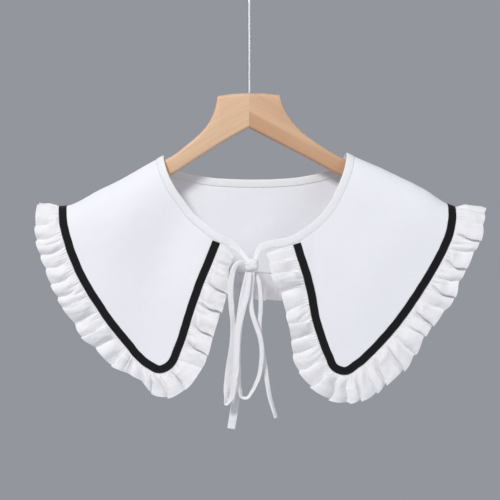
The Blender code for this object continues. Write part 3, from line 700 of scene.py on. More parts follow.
def poplin_material(name, dull, pale):
    """Cotton poplin, bleached and pressed: nearly white, quite matt, with a fine even weave and faint
    slubs, which are paler. Its crumple is too soft to be seen except as light and shade."""
    settings = {"Roughness": 0.82, "Sheen Weight": 0.12, "Sheen Roughness": 0.5}
    poplin = new_material(name, settings)
    flat = add_node(poplin, "ShaderNodeTexCoord").outputs["UV"]
    # Threads 0.42 mm apart each way; the real ones are 0.25 mm apart, too fine to show
    settings = {"Scale": bands(0.42), "Distortion": 0.6, "Detail": 1.0, "Detail Scale": 0.3}
    warp = add_node(poplin, "ShaderNodeTexWave", settings, {"Vector": flat})
    settings = {**settings, "bands_direction": "Y"}
    weft = add_node(poplin, "ShaderNodeTexWave", settings, {"Vector": flat})
    links = {0: warp.outputs["Fac"], 1: weft.outputs["Fac"]}
    weave = add_node(poplin, "ShaderNodeMath", {"operation": "MULTIPLY"}, links)
    # Slubs, thicker bits of thread about 6 mm long and 0.8 mm wide
    long_way = add_node(poplin, "ShaderNodeMapping", patches(6.25, 0.8333), {"Vector": flat})
    links = {"Vector": long_way.outputs[0]}
    slub = add_node(poplin, "ShaderNodeTexNoise", {"Scale": 1.0, "Detail": 2.0}, links)
    # The press leaves shallow dents about 13 mm across
    settings = {"Scale": 1 / (13.333 * MM), "Detail": 3.0}
    press = add_node(poplin, "ShaderNodeTexNoise", settings, {"Vector": flat})
    settings = {"Strength": 0.18, "Distance": 0.0001}
    woven = add_node(poplin, "ShaderNodeBump", settings, {"Height": weave.outputs[0]})
    settings = {"Strength": 0.07, "Distance": 0.0001}
    links = {"Height": slub.outputs["Fac"], "Normal": woven.outputs[0]}
    slubbed = add_node(poplin, "ShaderNodeBump", settings, links)
    settings = {"Strength": 0.35, "Distance": 0.0006}
    links = {"Height": press.outputs["Fac"], "Normal": slubbed.outputs[0]}
    pressed = add_node(poplin, "ShaderNodeBump", settings, links)
    settings = {"From Min": 0.35, "From Max": 0.65}
    by_slub = add_node(poplin, "ShaderNodeMapRange", settings, {"Value": slub.outputs["Fac"]})
    settings = {"data_type": "RGBA", 6: linear(dull), 7: linear(pale)}
    colour = add_node(poplin, "ShaderNodeMix", settings, {0: by_slub.outputs[0]})
    finish_material(poplin, {"Base Color": colour.outputs[2], "Normal": pressed.outputs[0]})
    return poplin


def add_panel(material):
    """The panel's grid between the binding and the ribbon's outer edge. Small ripples die out towards
    both seams, so that the trims lie flat on it."""
    neck_at = panel_neck_columns()
    stops = column_stops(RIBBON, RIBBON_AT, 0.0, RIBBON_AT[-1], POINT_HALF, BACK_CORNER)
    ribbon_at = spread(stops, PANEL_COLUMNS)
    inner = pick(beside(NECK, BINDING_WIDE + PANEL_CLEAR), NECK_AT, neck_at)
    outer = pick(beside(RIBBON, RIBBON_WIDE / 2 + PANEL_CLEAR), RIBBON_AT, ribbon_at)
    share = np.linspace(0.0, 1.0, PANEL_ROWS)[:, None, None]
    spots = inner[None] + (outer - inner)[None] * share
    free = np.sin(math.pi * np.clip(share[..., 0] / SWELLS_END, 0, 1)) ** 0.7
    across, over = spots[..., 0], spots[..., 1]
    swell = sum(high * ripple(across, over, long, seed) for high, long, seed in PANEL_SWELLS)
    middle = surface(spots) + outward(spots) * (swell * free)[..., None]
    normals = grid_normals(middle)
    return add_cloth("collar_panel_cloth", middle, middle - normals * POPLIN, spots, material)


# The panel's copy of the poplin is painted a slightly paler, cooler white than the copy for the ruffle,
# binding and bow: a painted difference of light, as the cloth is the same
poplin = poplin_material("white_cotton_poplin", "F0F0F5", "F3F3F7")
panel = add_panel(poplin)
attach(panel, "root")
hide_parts("collar_panel")


# The ribbon is black grosgrain, 8 mm wide, laid on the panel along its outer edge and topstitched
# along both of its own edges with black thread. Its ends are cut square just under the binding.

# Share of the half width from the middle, and the height there: the selvedges are a little thicker
RIBBON_SHAPE = (
    (-1.0, 0.22),
    (-0.97, 0.6),
    (-0.9, 0.72),
    (-0.8, 0.58),
    (-0.4, 0.64),
    (0.0, 0.66),
    (0.4, 0.64),
    (0.8, 0.58),
    (0.9, 0.72),
    (0.97, 0.6),
    (1.0, 0.22),
)
RIBBON_SEAMS = (-0.8, 0.8)
RIBBON_BASE = 0.06
RIBBON_STEP = 1.0
# The sewn ribbon strays sideways and lifts by this much, over about 15 mm
RIBBON_STRAY = 0.18
RIBBON_LIFT = 0.05

# Share of a stitch's length, then the thread's height and width there in its own radii
STITCH_SHAPE = ((0.0, -0.9, 0.5), (0.12, 0.1, 0.9), (0.5, 0.45, 1.0), (0.88, 0.1, 0.9), (1.0, -0.9, 0.5))
STITCH = 2.4
STITCH_GAP = 0.6
THREAD = 0.17
THREAD_SIDES = 5


def grosgrain_material():
    """Polyester grosgrain: a soft black, matt, with fine ribs across it that catch a little light."""
    settings = {"Roughness": 0.78, "Specular IOR Level": 0.25, "Sheen Weight": 0.03, "Sheen Roughness": 0.4}
    grosgrain = new_material("black_grosgrain", settings)
    flat = add_node(grosgrain, "ShaderNodeTexCoord").outputs["UV"]
    # Ribs 0.9 mm apart, across the ribbon
    settings = {"Scale": bands(0.9), "Distortion": 0.3, "Detail": 1.0}
    rib = add_node(grosgrain, "ShaderNodeTexWave", settings, {"Vector": flat})
    settings = {"Strength": 0.6, "Distance": 0.00025}
    ribbed = add_node(grosgrain, "ShaderNodeBump", settings, {"Height": rib.outputs["Fac"]})
    # Dye and wear, cloudy over about 17 mm
    settings = {"Scale": 1 / (16.667 * MM), "Detail": 4.0}
    worn = add_node(grosgrain, "ShaderNodeTexNoise", settings, {"Vector": flat})
    settings = {"data_type": "RGBA", 6: linear("0C0B0E"), 7: linear("131217")}
    colour = add_node(grosgrain, "ShaderNodeMix", settings, {0: worn.outputs["Fac"]})
    finish_material(grosgrain, {"Base Color": colour.outputs[2], "Normal": ribbed.outputs[0]})
    return grosgrain


def thread_material(name, colour):
    """Spun polyester sewing thread, slightly shiny, with its twist in a fine spiral."""
    thread = new_material(name, {"Base Color": linear(colour), "Roughness": 0.5})
    place = add_node(thread, "ShaderNodeTexCoord").outputs["UV"]
    # One turn of the twist in 1.4 mm: diagonal bands are twice as far apart as level ones
    settings = {"bands_direction": "DIAGONAL", "Scale": bands(0.7)}
    twist = add_node(thread, "ShaderNodeTexWave", settings, {"Vector": place})
    settings = {"Strength": 0.4, "Distance": 0.0001}
    twisted = add_node(thread, "ShaderNodeBump", settings, {"Height": twist.outputs["Fac"]})
    finish_material(thread, {"Normal": twisted.outputs[0]})
    return thread


def add_stitches(name, lines, material):
    """Rows of stitches, each a short bead of thread that dips into the cloth at both ends. Lines are
    pairs of places in space and the outward direction at each."""
    points, faces, flat = [], [], []
    for places, outwards in lines:
        at = lengths(places)
        starts = np.arange(STITCH_GAP, at[-1] - STITCH, STITCH + STITCH_GAP)
        along = unit(np.gradient(places, axis=0))
        for start in starts:
            first = len(points)
            for share, lift, width in STITCH_SHAPE:
                here = [start + STITCH * share]
                middle, up, heading = (pick(rows, at, here)[0] for rows in (places, outwards, along))
                aside = np.cross(up, heading)
                for step in range(THREAD_SIDES):
                    turn = 2 * math.pi * step / THREAD_SIDES
                    reach = up * (math.cos(turn) * width + lift) + aside * math.sin(turn) * width
                    points.append(middle + reach * THREAD)
                    flat.append((here[0], THREAD * turn))
            last = first + (len(STITCH_SHAPE) - 1) * THREAD_SIDES
            for ring in range(first, last, THREAD_SIDES):
                for step in range(THREAD_SIDES):
                    a, b = ring + step, ring + (step + 1) % THREAD_SIDES
                    faces.append((a, b, b + THREAD_SIDES, a + THREAD_SIDES))
            faces.append(tuple(range(first + THREAD_SIDES - 1, first - 1, -1)))
            faces.append(tuple(range(last, last + THREAD_SIDES)))
    return add_mesh(name, points, faces, flat, material)


def row_at(shares, wanted):
    """The row of a grid at this share of its width."""
    return int(np.argmin(np.abs(shares - wanted)))


def add_ribbon(material):
    """The ribbon and the lines of its two rows of stitches."""
    at = np.linspace(0.0, RIBBON_AT[-1], int(RIBBON_AT[-1] / RIBBON_STEP))
    half = RIBBON_WIDE / 2
    shares, heights = np.array(RIBBON_SHAPE).T[..., None]
    aside = RIBBON_STRAY * ripple(RIBBON_AT, 0 * RIBBON_AT, 15.0, 9)[:, None]
    spots = np.stack([pick(beside(RIBBON, half * share + aside), RIBBON_AT, at) for share in shares])
    spots[..., 1] = np.stack([settle(row) for row in spots[..., 1]])
    normals = outward(spots)
    across_it = np.cos(np.linspace(-1.5, 1.5, len(shares)))[:, None]
    lift = RIBBON_LIFT * ripple(at, 0 * at, 14.0, 8) * across_it
    lying = surface(spots)
    top = lying + normals * (heights + lift)[..., None]
    base = lying + normals * RIBBON_BASE
    flat = np.stack(np.broadcast_arrays(at[None, :], shares * half), axis=-1)
    made = add_cloth("ribbon_trim_black", top, base, flat, material)
    rows = [row_at(shares, seam) for seam in RIBBON_SEAMS]
    return made, [(top[row], normals[row]) for row in rows]


ribbon, ribbon_seams = add_ribbon(grosgrain_material())
ribbon_stitches = add_stitches("ribbon_stitches", ribbon_seams, thread_material("black_thread", "17161A"))
for piece in (ribbon, ribbon_stitches):
    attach(piece, "root")
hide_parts("ribbon_trim")


# The ruffle is a strip of the same poplin, gathered into the panel's edge all round in three lengths
# that meet at the shoulders. Its fullness was pressed flat, so each fold laps over the next.

RUFFLE_THICK = 0.42
RUFFLE_DEEP = 30.0
HEM = 3.0
HEM_EXTRA = 0.22
HEM_STEP = 0.8
# The hem's stitches are on this row, counted from the edge
HEM_SEAM_ROW = 5
BACK_RUFFLE_DEEP = 29.0
BACK_RUFFLE_AT_SHOULDER = 0.75
BACK_RUFFLE_TAPER = 60.0
BACK_FOLDS = 26
BACK_FOLD_WIDTHS = (0.75, 1.25)
BACK_FOLD_RISES = (2.8, 4.6)
BACK_FOLD_LAPS = (0.25, 0.55)

# A row for each fold: how far along the ribbon its crease starts, where the crease ends on the
# ruffle's edge (across, below), how far the cloth stands forward, and how far it laps over the next
LEFT_FOLDS = (
    (0.0, -14.5, 304.0, 1.6, 0.12),
    (16.8, -19.5, 316.5, 3.0, 0.70),
    (41.0, -22.0, 341.0, 3.6, 0.60),
    (64.0, -27.0, 358.5, 3.0, 0.70),
    (87.0, -35.4, 384.0, 3.4, 0.60),
    (106.0, -40.3, 401.0, 2.8, 0.12),
    (124.0, -46.0, 417.0, 4.4, 0.70),
    (137.0, -57.5, 433.0, 5.0, 0.60),
    (145.0, -76.0, 444.5, 4.4, 0.60),
    (152.0, -95.5, 443.0, 4.2, 0.30),
    (162.0, -107.0, 430.0, 3.2, 0.15),
    (171.0, -119.0, 423.0, 3.6, 0.60),
    (182.0, -138.0, 414.0, 4.0, 0.30),
    (197.0, -154.0, 396.0, 3.8, 0.70),
    (214.0, -165.5, 387.0, 4.2, 0.12),
    (229.0, -174.5, 373.0, 3.8, 0.70),
    (244.5, -184.5, 358.5, 4.4, 0.12),
    (260.0, -191.5, 346.0, 3.6, 0.30),
    (274.5, -198.5, 334.0, 4.0, 0.12),
    (288.0, -203.5, 318.0, 3.4, 0.12),
    (301.5, -209.0, 305.0, 3.8, 0.25),
    (315.0, -214.0, 289.0, 3.4, 0.12),
    (328.0, -215.0, 273.0, 3.0, 0.20),
)
RIGHT_FOLDS = (
    (0.0, 17.0, 301.5, 1.6, 0.12),
    (13.0, 21.0, 314.0, 2.8, 0.50),
    (26.5, 24.5, 328.5, 3.6, 0.70),
    (45.0, 31.5, 341.0, 3.2, 0.12),
    (61.0, 36.6, 360.5, 3.8, 0.12),
    (77.0, 40.5, 376.5, 3.2, 0.60),
    (91.0, 41.5, 389.0, 2.8, 0.30),
    (105.0, 42.8, 402.0, 3.4, 0.12),
    (119.5, 49.0, 419.0, 3.4, 0.30),
    (130.0, 62.0, 435.5, 4.8, 0.60),
    (137.5, 81.0, 447.5, 5.2, 0.55),
    (143.0, 97.5, 450.5, 4.4, 0.15),
    (150.0, 111.0, 448.0, 4.8, 0.50),
    (158.0, 127.0, 441.5, 4.4, 0.30),
    (170.0, 137.0, 432.0, 4.6, 0.70),
    (186.5, 155.5, 417.0, 5.2, 0.60),
    (200.0, 165.5, 404.5, 4.4, 0.30),
    (215.0, 175.5, 385.5, 3.6, 0.35),
    (232.0, 184.0, 373.5, 4.0, 0.70),
    (246.0, 195.5, 360.0, 4.0, 0.12),
    (262.0, 207.0, 342.5, 4.4, 0.50),
    (276.5, 210.5, 331.0, 3.6, 0.15),
    (290.0, 219.0, 314.0, 3.8, 0.70),
    (304.0, 226.0, 301.0, 3.2, 0.12),
    (317.0, 232.5, 288.0, 3.6, 0.60),
    (331.0, 236.5, 273.0, 3.2, 0.12),
)
LEFT_RUFFLE_TOP = -213.0
RIGHT_RUFFLE_TOP = 238.0
FOLD_COLUMNS = 36
FOLD_RIDGES = (0.5, 0.6)
SWELL_BEFORE_RIDGE = 0.1
LONGEST_LAP = 13.0
RIDGE_REACH = 0.07
# Folds that lap far have their ridge nearer the crease, and stand up higher and nearer the seam
RIDGE_WITH_LAP = 0.26
LIFT_LEAST = 0.6
LIFT_WITH_LAP = 1.6
FULL_RISE_BY = 0.67
SOONER_WITH_LAP = 0.5
# The folds stray along the strip by this share of a fold, and the edge in and out by this share
STRAY = 0.1
EDGE_STRAY = 0.015
# The strips' ends lie flat over this share of their first and last fold
FLAT_END = 0.3
# The seam edge dips a little and is tucked behind the panel
SEAM_DIP = 0.1
TUCK = 2.2
TUCK_BACK = 0.75
TUCKED_DEPTHS = (-0.08, -0.01)
# Steps of the strip's edge from one crease to the next, before it is read off at the columns
EDGE_FINER = 8
# Fine gathers at the seam, and small pleats that run on from some of them
GATHER = 2.7
GATHER_RISE = 0.7
GATHER_REACH = 5.0
PLEAT = 7.2
PLEAT_RISE = 1.9
PLEAT_REACH = 13.0
# Crumples left by the gathering: height, length of their waves, pace across, seed
CRUMPLES = ((0.85, 14.0, 0.45, 2), (0.2, 6.0, 0.8, 3))
CRUMPLED_FROM = 12.0


def ruffle_rows():
    """Shares of the ruffle's depth at its rows, close together at the seam and along the hem."""
    close, even = np.linspace(0.0, 0.2, 6), np.linspace(0.25, 0.86, 13)
    return np.concatenate([close, even, (0.9, 0.93, 0.96, 0.985, 1.0)])


def fold_wave(within, ridges):
    """A wave from 0 at each fold's crease to 1 at its ridge, and back to 0 at the next crease."""
    return np.sin(math.pi * within ** (math.log(0.5) / np.log(ridges)))


def gathers(along, deep, seed):
    """Height of the fine gathers at the seam, each a little different from the next, and of the pleats
    that run on from some of them and fade out."""
    uneven = np.clip(0.5 + 0.7 * ripple(along, 0 * along, 9.0, seed + 1), 0.0, 1.3)
    tight = np.sin(2 * math.pi * along / GATHER + 1.8 * ripple(along, 0.4 * deep, 16.0, seed))
    fading = np.exp(-deep / (GATHER_REACH * (0.4 + uneven)))
    fine = GATHER_RISE * (0.5 + 0.5 * tight) * (0.3 + uneven) * fading
    loose = np.abs(np.sin(math.pi * along / PLEAT + 1.8 * ripple(along, 0.5 * deep, 30.0, seed + 6)))
    some = np.clip(0.4 + 0.8 * ripple(along, 0.5 * deep, 26.0, seed + 7), 0.0, 1.2)
    fading = ease(deep / 3.0) * np.exp(-((deep / (PLEAT_REACH * (0.5 + some))) ** 2))
    return fine + PLEAT_RISE * loose**0.8 * some * fading


def crumples(along, deep, seed):
    """Height of the soft crumples, which start some way from the seam."""
    total = sum(high * ripple(along, pace * deep, long, seed + more) for high, long, pace, more in CRUMPLES)
    return total * ease(deep / CRUMPLED_FROM)


def add_ruffle(name, at, edge, lifts, laps, seed, material):
    """A gathered strip from behind the panel's edge to its own. In each fold the cloth rises to a ridge
    that leans over the next crease, and turns back under itself to it. Also returns the hem's seam and
    the strip's length before it was gathered."""
    at, folds = np.asarray(at), len(lifts)
    share = np.arange(folds * FOLD_COLUMNS + 1) / FOLD_COLUMNS
    fold = np.minimum(share.astype(int), folds - 1)
    strong = np.asarray(laps)[fold]
    ridges = np.random.default_rng(seed).uniform(*FOLD_RIDGES, folds)[fold] + RIDGE_WITH_LAP * strong
    wave = fold_wave(share - fold, ridges)
    swell = fold_wave(share - fold, ridges - SWELL_BEFORE_RIDGE)
    depths = ruffle_rows()
    widths = np.linalg.norm(np.diff(edge, axis=0), axis=1)
    grown = ease(depths[:, None] / (FULL_RISE_BY - SOONER_WITH_LAP * settle(strong, 12))[None, :])
    lap = strong * np.minimum(1.0, LONGEST_LAP / widths)[fold] * wave**2 * depths[:, None] ** 0.8
    lift = (LIFT_LEAST + LIFT_WITH_LAP * strong) * np.asarray(lifts)[fold] * swell
    # Where each point is along the strip, in folds, with the lapped part past its crease
    wander = STRAY * ripple(RUFFLE_DEEP * depths[:, None], 4 * share, 24.0, seed + 4)
    wander = wander * ease(4 * depths)[:, None]
    place = np.clip(share + lap + wander * ease(np.minimum(share, folds - share)), 0.0, folds)
    along = np.interp(place, np.arange(folds + 1), at)
    seam = pick(beside(RIBBON, RIBBON_WIDE / 2 + SEAM_GAP), RIBBON_AT, along)
    edge_line = smooth(edge, EDGE_FINER)
    rim = pick(edge_line, np.arange(len(edge_line)) / EDGE_FINER, place)
    reach = RIDGE_REACH * (np.asarray(lifts)[fold] / max(lifts) * wave - 0.5)
    reach = reach + EDGE_STRAY * ripple(12 * share, 0 * share, 26.0, seed + 5)
    spots = seam + (rim - seam) * (depths[:, None] * (1 + reach * depths[:, None]))[..., None]
    deep = np.linalg.norm(rim - seam, axis=-1) * depths[:, None]
    ends = ease(np.minimum(share, folds - share) / FLAT_END)
    height = (lift * grown + gathers(along, deep, seed) + crumples(along, deep, seed)) * ends
    height = height - SEAM_DIP * (1 - ease(deep / 2.0))
    middle = surface(spots) + outward(spots) * height[..., None]
    # Two more rows, dipped behind the panel's edge and tucked behind the panel
    behind_spots = pick(beside(RIBBON, RIBBON_WIDE / 2 - TUCK), RIBBON_AT, along[0])
    dipped = surface(spots[0]) - outward(spots[0]) * TUCK_BACK
    behind = surface(behind_spots) - outward(behind_spots) * TUCK_BACK
    middle = np.concatenate([behind[None], dipped[None], middle])
    depths = np.concatenate([TUCKED_DEPTHS, depths])
    normals = grid_normals(middle)
    hem = HEM_EXTRA * ease((deep[-1][None, :] * (depths[:, None] - 1) + HEM) / HEM_STEP)
    outer = middle + normals * (0.5 * hem)[..., None]
    inner = middle - normals * (RUFFLE_THICK + 0.5 * hem)[..., None]
    length = lengths(middle[-1])
    flat = np.stack(np.broadcast_arrays(length[None, :], depths[:, None] * RUFFLE_DEEP), axis=-1)
    made = add_cloth(name, outer, inner, flat, material)
    row = len(depths) - HEM_SEAM_ROW
    cut_long = np.mean([lengths(line)[-1] for line in middle[2:]])
    return made, (outer[row], normals[row]), cut_long


def back_folds(first, last):
    """Folds for the back of the ruffle, uneven in width, height and lap."""
    random = np.random.default_rng(11)
    widths = random.uniform(*BACK_FOLD_WIDTHS, BACK_FOLDS)
    at = first + (last - first) * np.concatenate([[0.0], np.cumsum(widths)]) / widths.sum()
    return at, random.uniform(*BACK_FOLD_RISES, BACK_FOLDS), random.uniform(*BACK_FOLD_LAPS, BACK_FOLDS)


def add_ruffles(material):
    """The ruffle in its three strips, which meet on the shoulder line."""
    left_crest, right_crest = crest_distances(RIBBON, RIBBON_AT)
    total = RIBBON_AT[-1]
    half_gap = 0.05
    seeds = {"left": 20, "right": 40, "back": 60}
    left = np.array(LEFT_FOLDS)
    left_at = [*left[:, 0], left_crest - half_gap]
    left_edge = np.concatenate([front_spots(left[:, 1:3]), [[LEFT_RUFFLE_TOP, half_gap]]])
    fronts = [("left", left_at, left_edge, left[:, 3], left[:, 4])]
    right = np.array(RIGHT_FOLDS)[::-1]
    right_at = [right_crest + half_gap, *(total - right[:, 0])]
    right_edge = np.concatenate([[[RIGHT_RUFFLE_TOP, half_gap]], front_spots(right[:, 1:3])])
    fronts.append(("right", right_at, right_edge, right[:, 3], right[:, 4]))
    at, lifts, laps = back_folds(left_crest + half_gap, right_crest - half_gap)
    seam = beside(RIBBON, RIBBON_WIDE / 2)
    deep = pick(beside(seam, BACK_RUFFLE_DEEP), RIBBON_AT, at)
    seam = pick(seam, RIBBON_AT, at)
    from_end = np.minimum(at - at[0], at[-1] - at)
    share = BACK_RUFFLE_AT_SHOULDER + (1 - BACK_RUFFLE_AT_SHOULDER) * ease(from_end / BACK_RUFFLE_TAPER)
    edge = seam + (deep - seam) * share[:, None]
    for end, top in ((0, LEFT_RUFFLE_TOP), (-1, RIGHT_RUFFLE_TOP)):
        edge[end] = (top, -half_gap)
    strips = [*fronts, ("back", at, edge, lifts, laps)]
    return [add_ruffle("ruffle_cloth_" + side, *rest, seeds[side], material) for side, *rest in strips]


# The same poplin as the panel's, in a copy painted a slightly greyer, more neutral white: painted shade on
# the ruffle, the binding and the bow
shaded_poplin = poplin_material("shaded_cotton_poplin", "EEEDEF", "F2F1F2")
ruffles = add_ruffles(shaded_poplin)
white_thread = thread_material("white_thread", "EFEFF2")
hem_stitches = add_stitches("ruffle_stitches", [seam for _, seam, _ in ruffles], white_thread)
for (piece, _, cloth_long), node in zip(ruffles, ("ruffle_left", "ruffle_right", "ruffle_back")):
    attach(piece, "root")
    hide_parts(node)
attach(hem_stitches, "root")


# The neck binding is a poplin strip folded over the panel's raw neck edge and stitched close to its
# lower fold. At each front corner it runs on, folded in four, as a tie that rises to the knot.

LEFT_TIE_FREE = 27.0
RIGHT_TIE_FREE = 38.0
TIE_LIFT = 4.0
# The ties are bunched to this share of their width where they enter the knot, and the last few
# millimetres bend in to these places inside it
TIE_BUNCHED = 0.55
TIE_BUNCHED_OVER = 18.0
TIE_ENTERS = ((-0.4, -31.0, -309.5), (6.2, -31.0, -309.0))
TIE_ENTERS_OVER = 10.0
# Share of the width from the neck edge, and how far the outer and inner faces stand off the cloth
BINDING_SHAPE = (
    (0.0, -0.25, -0.75),
    (0.02, 0.12, -1.1),
    (0.06, 0.38, -1.32),
    (0.16, 0.5, -1.45),
    (0.4, 0.5, -1.45),
    (0.62, 0.48, -1.42),
    (0.76, 0.42, -1.36),
    (0.82, 0.3, -1.3),
    (0.88, 0.4, -1.3),
    (0.95, 0.38, -1.2),
    (0.985, 0.2, -1.05),
    (1.0, -0.1, -0.85),
)
BINDING_SEAM = 0.82
BINDING_PUCKER = 0.1
BINDING_STEP = 0.8


def add_binding(material):
    """The binding with its small puckers, and the line of its stitches."""
    at = np.arange(0.0, NECK_AT[-1], BINDING_STEP)
    shares, tops, bases = np.array(BINDING_SHAPE).T[..., None]
    spots = np.stack([pick(beside(NECK, BINDING_WIDE * share), NECK_AT, at) for share in shares])
    from_end = np.minimum(at, at[-1] - at)
    width = TIE_BUNCHED + (1 - TIE_BUNCHED) * ease(from_end / TIE_BUNCHED_OVER)
    spots = spots[:1] + (spots - spots[:1]) * width[None, :, None]
    spots[..., 1] = np.stack([settle(row) for row in spots[..., 1]])
    lying, normals = surface(spots), outward(spots)
    lift = TIE_LIFT * (ease(1 - at / LEFT_TIE_FREE) + ease(1 - (NECK_AT[-1] - at) / RIGHT_TIE_FREE))
    pucker = BINDING_PUCKER * ripple(at, 0 * at, 7.0, 71) * np.sin(math.pi * shares)
    lying = lying + normals * (lift + pucker)[..., None]
    for end, place in zip((0, -1), TIE_ENTERS):
        near = ease(1 - np.abs(at - at[end]) / TIE_ENTERS_OVER)
        lying = lying + (place - lying[:, end].mean(axis=0)) * near[None, :, None]
    outer = lying + normals * tops[..., None]
    inner = lying + normals * bases[..., None]
    flat = np.stack(np.broadcast_arrays(at[None, :], shares * BINDING_WIDE), axis=-1)
    made = add_cloth("neck_binding_cloth", outer, inner, flat, material)
    row = row_at(shares, BINDING_SEAM)
    return made, (outer[row], normals[row])


# The binding is of the poplin copy painted a greyer white, a painted shade
binding, binding_seam = add_binding(shaded_poplin)
binding_stitches = add_stitches("binding_stitches", [binding_seam], white_thread)
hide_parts("neck_binding")
for piece in (binding, binding_stitches):
    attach(piece, "root")


# The bow is tied from the two ties: two long limp loops and two tails of a flat tape 9 mm wide, and
# a small soft knot wrapped over them. The tape is folded in four and stitched along one edge.

KNOT_PLACE = (2.5, -31.0, -313.0)
KNOT_HALF = (7.4, 7.6, 6.8)
KNOT_SQUARENESS = 0.62
KNOT_AROUND = 64
KNOT_LEVELS = 40
# The turns of tape slant by this much up and across, and bend by this much
KNOT_SLANT = (0.9, 0.42, 0.12)
KNOT_TURNS = 0.95
KNOT_FIRST_TURN = 0.42
# Each turn is this much lower at its crease, over this share of it, and this much lower at its end
KNOT_CREASE = 0.12
KNOT_CREASE_OVER = 0.08
KNOT_TAPER = 0.06
KNOT_PINCH = 0.02

TIE_THICK = 0.75
TIE_WIDE = 9.0
TIE_SEAM = 0.68
TIE_STEPS = 12
# Heights of the curl and the lengthwise folds where the tape is drawn narrow, and of its crumples
TIE_CURL = 1.6
TIE_FOLDS = 0.5
TIE_CRUMPLE = 0.25

# Across, below, depth of the tape's middle, width, and degrees turned from facing front
BOW_STRIPS = {
    "bow_loop_left": (
        (-5.1, 310.9, -31.3, 5.0, 14),
        (-10.4, 311.4, -32.4, 5.0, 20),
        (-14.6, 316.0, -33.4, 5.4, 12),
        (-17.0, 325.0, -33.8, 5.6, 4),
        (-18.2, 338.0, -33.4, 5.8, 4),
        (-17.4, 354.0, -31.6, 5.8, 4),
        (-15.6, 372.0, -29.4, 6.0, 6),
        (-15.8, 392.0, -28.4, 7.4, 8),
        (-18.6, 414.0, -29.2, 8.8, 10),
        (-20.8, 432.0, -31.2, 9.0, 22),
        (-21.6, 443.0, -32.8, 9.0, 44),
        (-21.2, 449.6, -34.2, 8.4, 66),
        (-18.4, 446.0, -35.6, 8.2, 62),
        (-16.0, 434.0, -36.8, 7.8, 46),
        (-13.2, 416.0, -38.2, 7.0, 24),
        (-12.4, 398.0, -38.8, 6.6, 10),
        (-10.8, 376.0, -38.8, 6.6, 6),
        (-6.0, 356.0, -38.4, 6.4, 4),
        (-1.4, 338.0, -37.4, 5.8, 2),
        (0.8, 320.2, -36.2, 5.0, 0),
    ),
    "bow_loop_right": (
        (-1.0, 320.0, -31.0, 5.0, 0),
        (-3.8, 332.0, -31.6, 5.6, 4),
        (-6.8, 348.0, -32.2, 6.0, 6),
        (-9.4, 366.0, -33.4, 6.0, 8),
        (-10.6, 384.0, -34.0, 6.0, 12),
        (-10.8, 404.0, -33.8, 6.0, 26),
        (-9.6, 426.0, -33.2, 6.0, 52),
        (-8.4, 438.0, -33.0, 6.0, 66),
        (-6.2, 445.0, -33.0, 6.0, 72),
        (-2.6, 445.4, -33.0, 6.0, 70),
        (2.6, 439.0, -33.2, 6.0, 64),
        (8.0, 428.0, -33.6, 5.6, 52),
        (11.4, 414.0, -34.2, 5.2, 34),
        (12.6, 398.0, -34.8, 5.0, 20),
        (10.6, 384.0, -34.8, 5.0, 12),
        (6.2, 371.0, -34.4, 5.0, 8),
        (2.6, 358.0, -34.0, 5.0, 5),
        (1.8, 344.0, -33.8, 5.0, 4),
        (2.8, 331.0, -33.6, 5.0, 0),
        (3.8, 320.2, -33.2, 5.0, 0),
    ),
    "bow_tail_left": (
        (0.0, 319.9, -26.8, 5.0, 0),
        (-4.0, 336.0, -25.4, 6.0, 0),
        (-7.6, 356.0, -24.8, 7.0, 2),
        (-10.4, 376.0, -24.6, 7.6, 2),
        (-12.8, 400.0, -24.6, 8.0, -4),
        (-13.8, 424.0, -24.6, 8.0, -6),
        (-13.6, 446.0, -24.6, 8.0, -4),
        (-15.8, 464.0, -24.6, 8.0, 0),
        (-17.8, 476.6, -24.6, 8.0, 0),
    ),
    "bow_tail_right": (
        (6.6, 320.0, -30.2, 4.6, 0),
        (9.6, 328.0, -30.2, 4.6, 0),
        (11.4, 340.0, -30.2, 4.6, 5),
        (11.8, 356.0, -30.0, 4.6, 5),
        (10.6, 374.0, -29.6, 4.6, 5),
        (12.4, 392.0, -29.4, 5.0, 5),
        (15.8, 412.0, -29.2, 5.2, 12),
        (18.4, 430.0, -29.2, 5.0, 24),
        (21.4, 446.0, -29.2, 5.4, 42),
        (25.0, 458.0, -29.2, 5.6, 50),
        (27.2, 465.4, -29.2, 5.6, 54),
    ),
}

# Share of the half width, and the thickness there against the other rows
TIE_SHAPE = (
    (-1.0, 0.12),
    (-0.96, 0.34),
    (-0.86, 0.45),
    (-0.6, 0.45),
    (-0.2, 0.44),
    (0.2, 0.44),
    (0.5, 0.43),
    (0.68, 0.3),
    (0.8, 0.42),
    (0.94, 0.36),
    (1.0, 0.12),
)


def add_tie(name, rows, seed, material):
    """A limp tape along its rows, the line of its stitches and its length. Where it is drawn narrower
    than it is, its edges curl back."""
    table = smooth(rows, TIE_STEPS)
    middle = table[:, [0, 2, 1]] * [1.0, 1.0, -1.0]
    heading = unit(np.gradient(middle, axis=0))
    level = unit(np.cross(heading, [0.0, -1.0, 0.0]))
    facing = np.cross(level, heading)
    turn = np.radians(table[:, 4])[:, None]
    side = -level * np.cos(turn) - facing * np.sin(turn)
    normal = unit(np.cross(heading, side))
    at = lengths(middle)
    shares, halves = np.array(TIE_SHAPE).T[..., None]
    halves = halves * TIE_THICK / (2 * halves.max())
    bunched = 1 - table[:, 3] / TIE_WIDE
    cup = TIE_CURL * bunched * (0.4 - shares**2) + TIE_FOLDS * bunched * np.cos(3 * math.pi * shares)
    cup = cup + TIE_CRUMPLE * ripple(at[None, :], 9 * shares, 17.0, seed)
    spread_out = shares[..., None] * (table[:, 3] / 2)[:, None] * side
    grid = middle + spread_out + normal * cup[..., None]
    outer = grid + normal * halves[..., None]
    inner = grid - normal * halves[..., None]
    flat = np.stack(np.broadcast_arrays(at[None, :], shares * TIE_WIDE / 2), axis=-1)
    made = add_cloth(name, outer, inner, flat, material)
    row = row_at(shares, TIE_SEAM)
    return made, (outer[row], np.broadcast_to(normal, outer[row].shape)), at[-1]


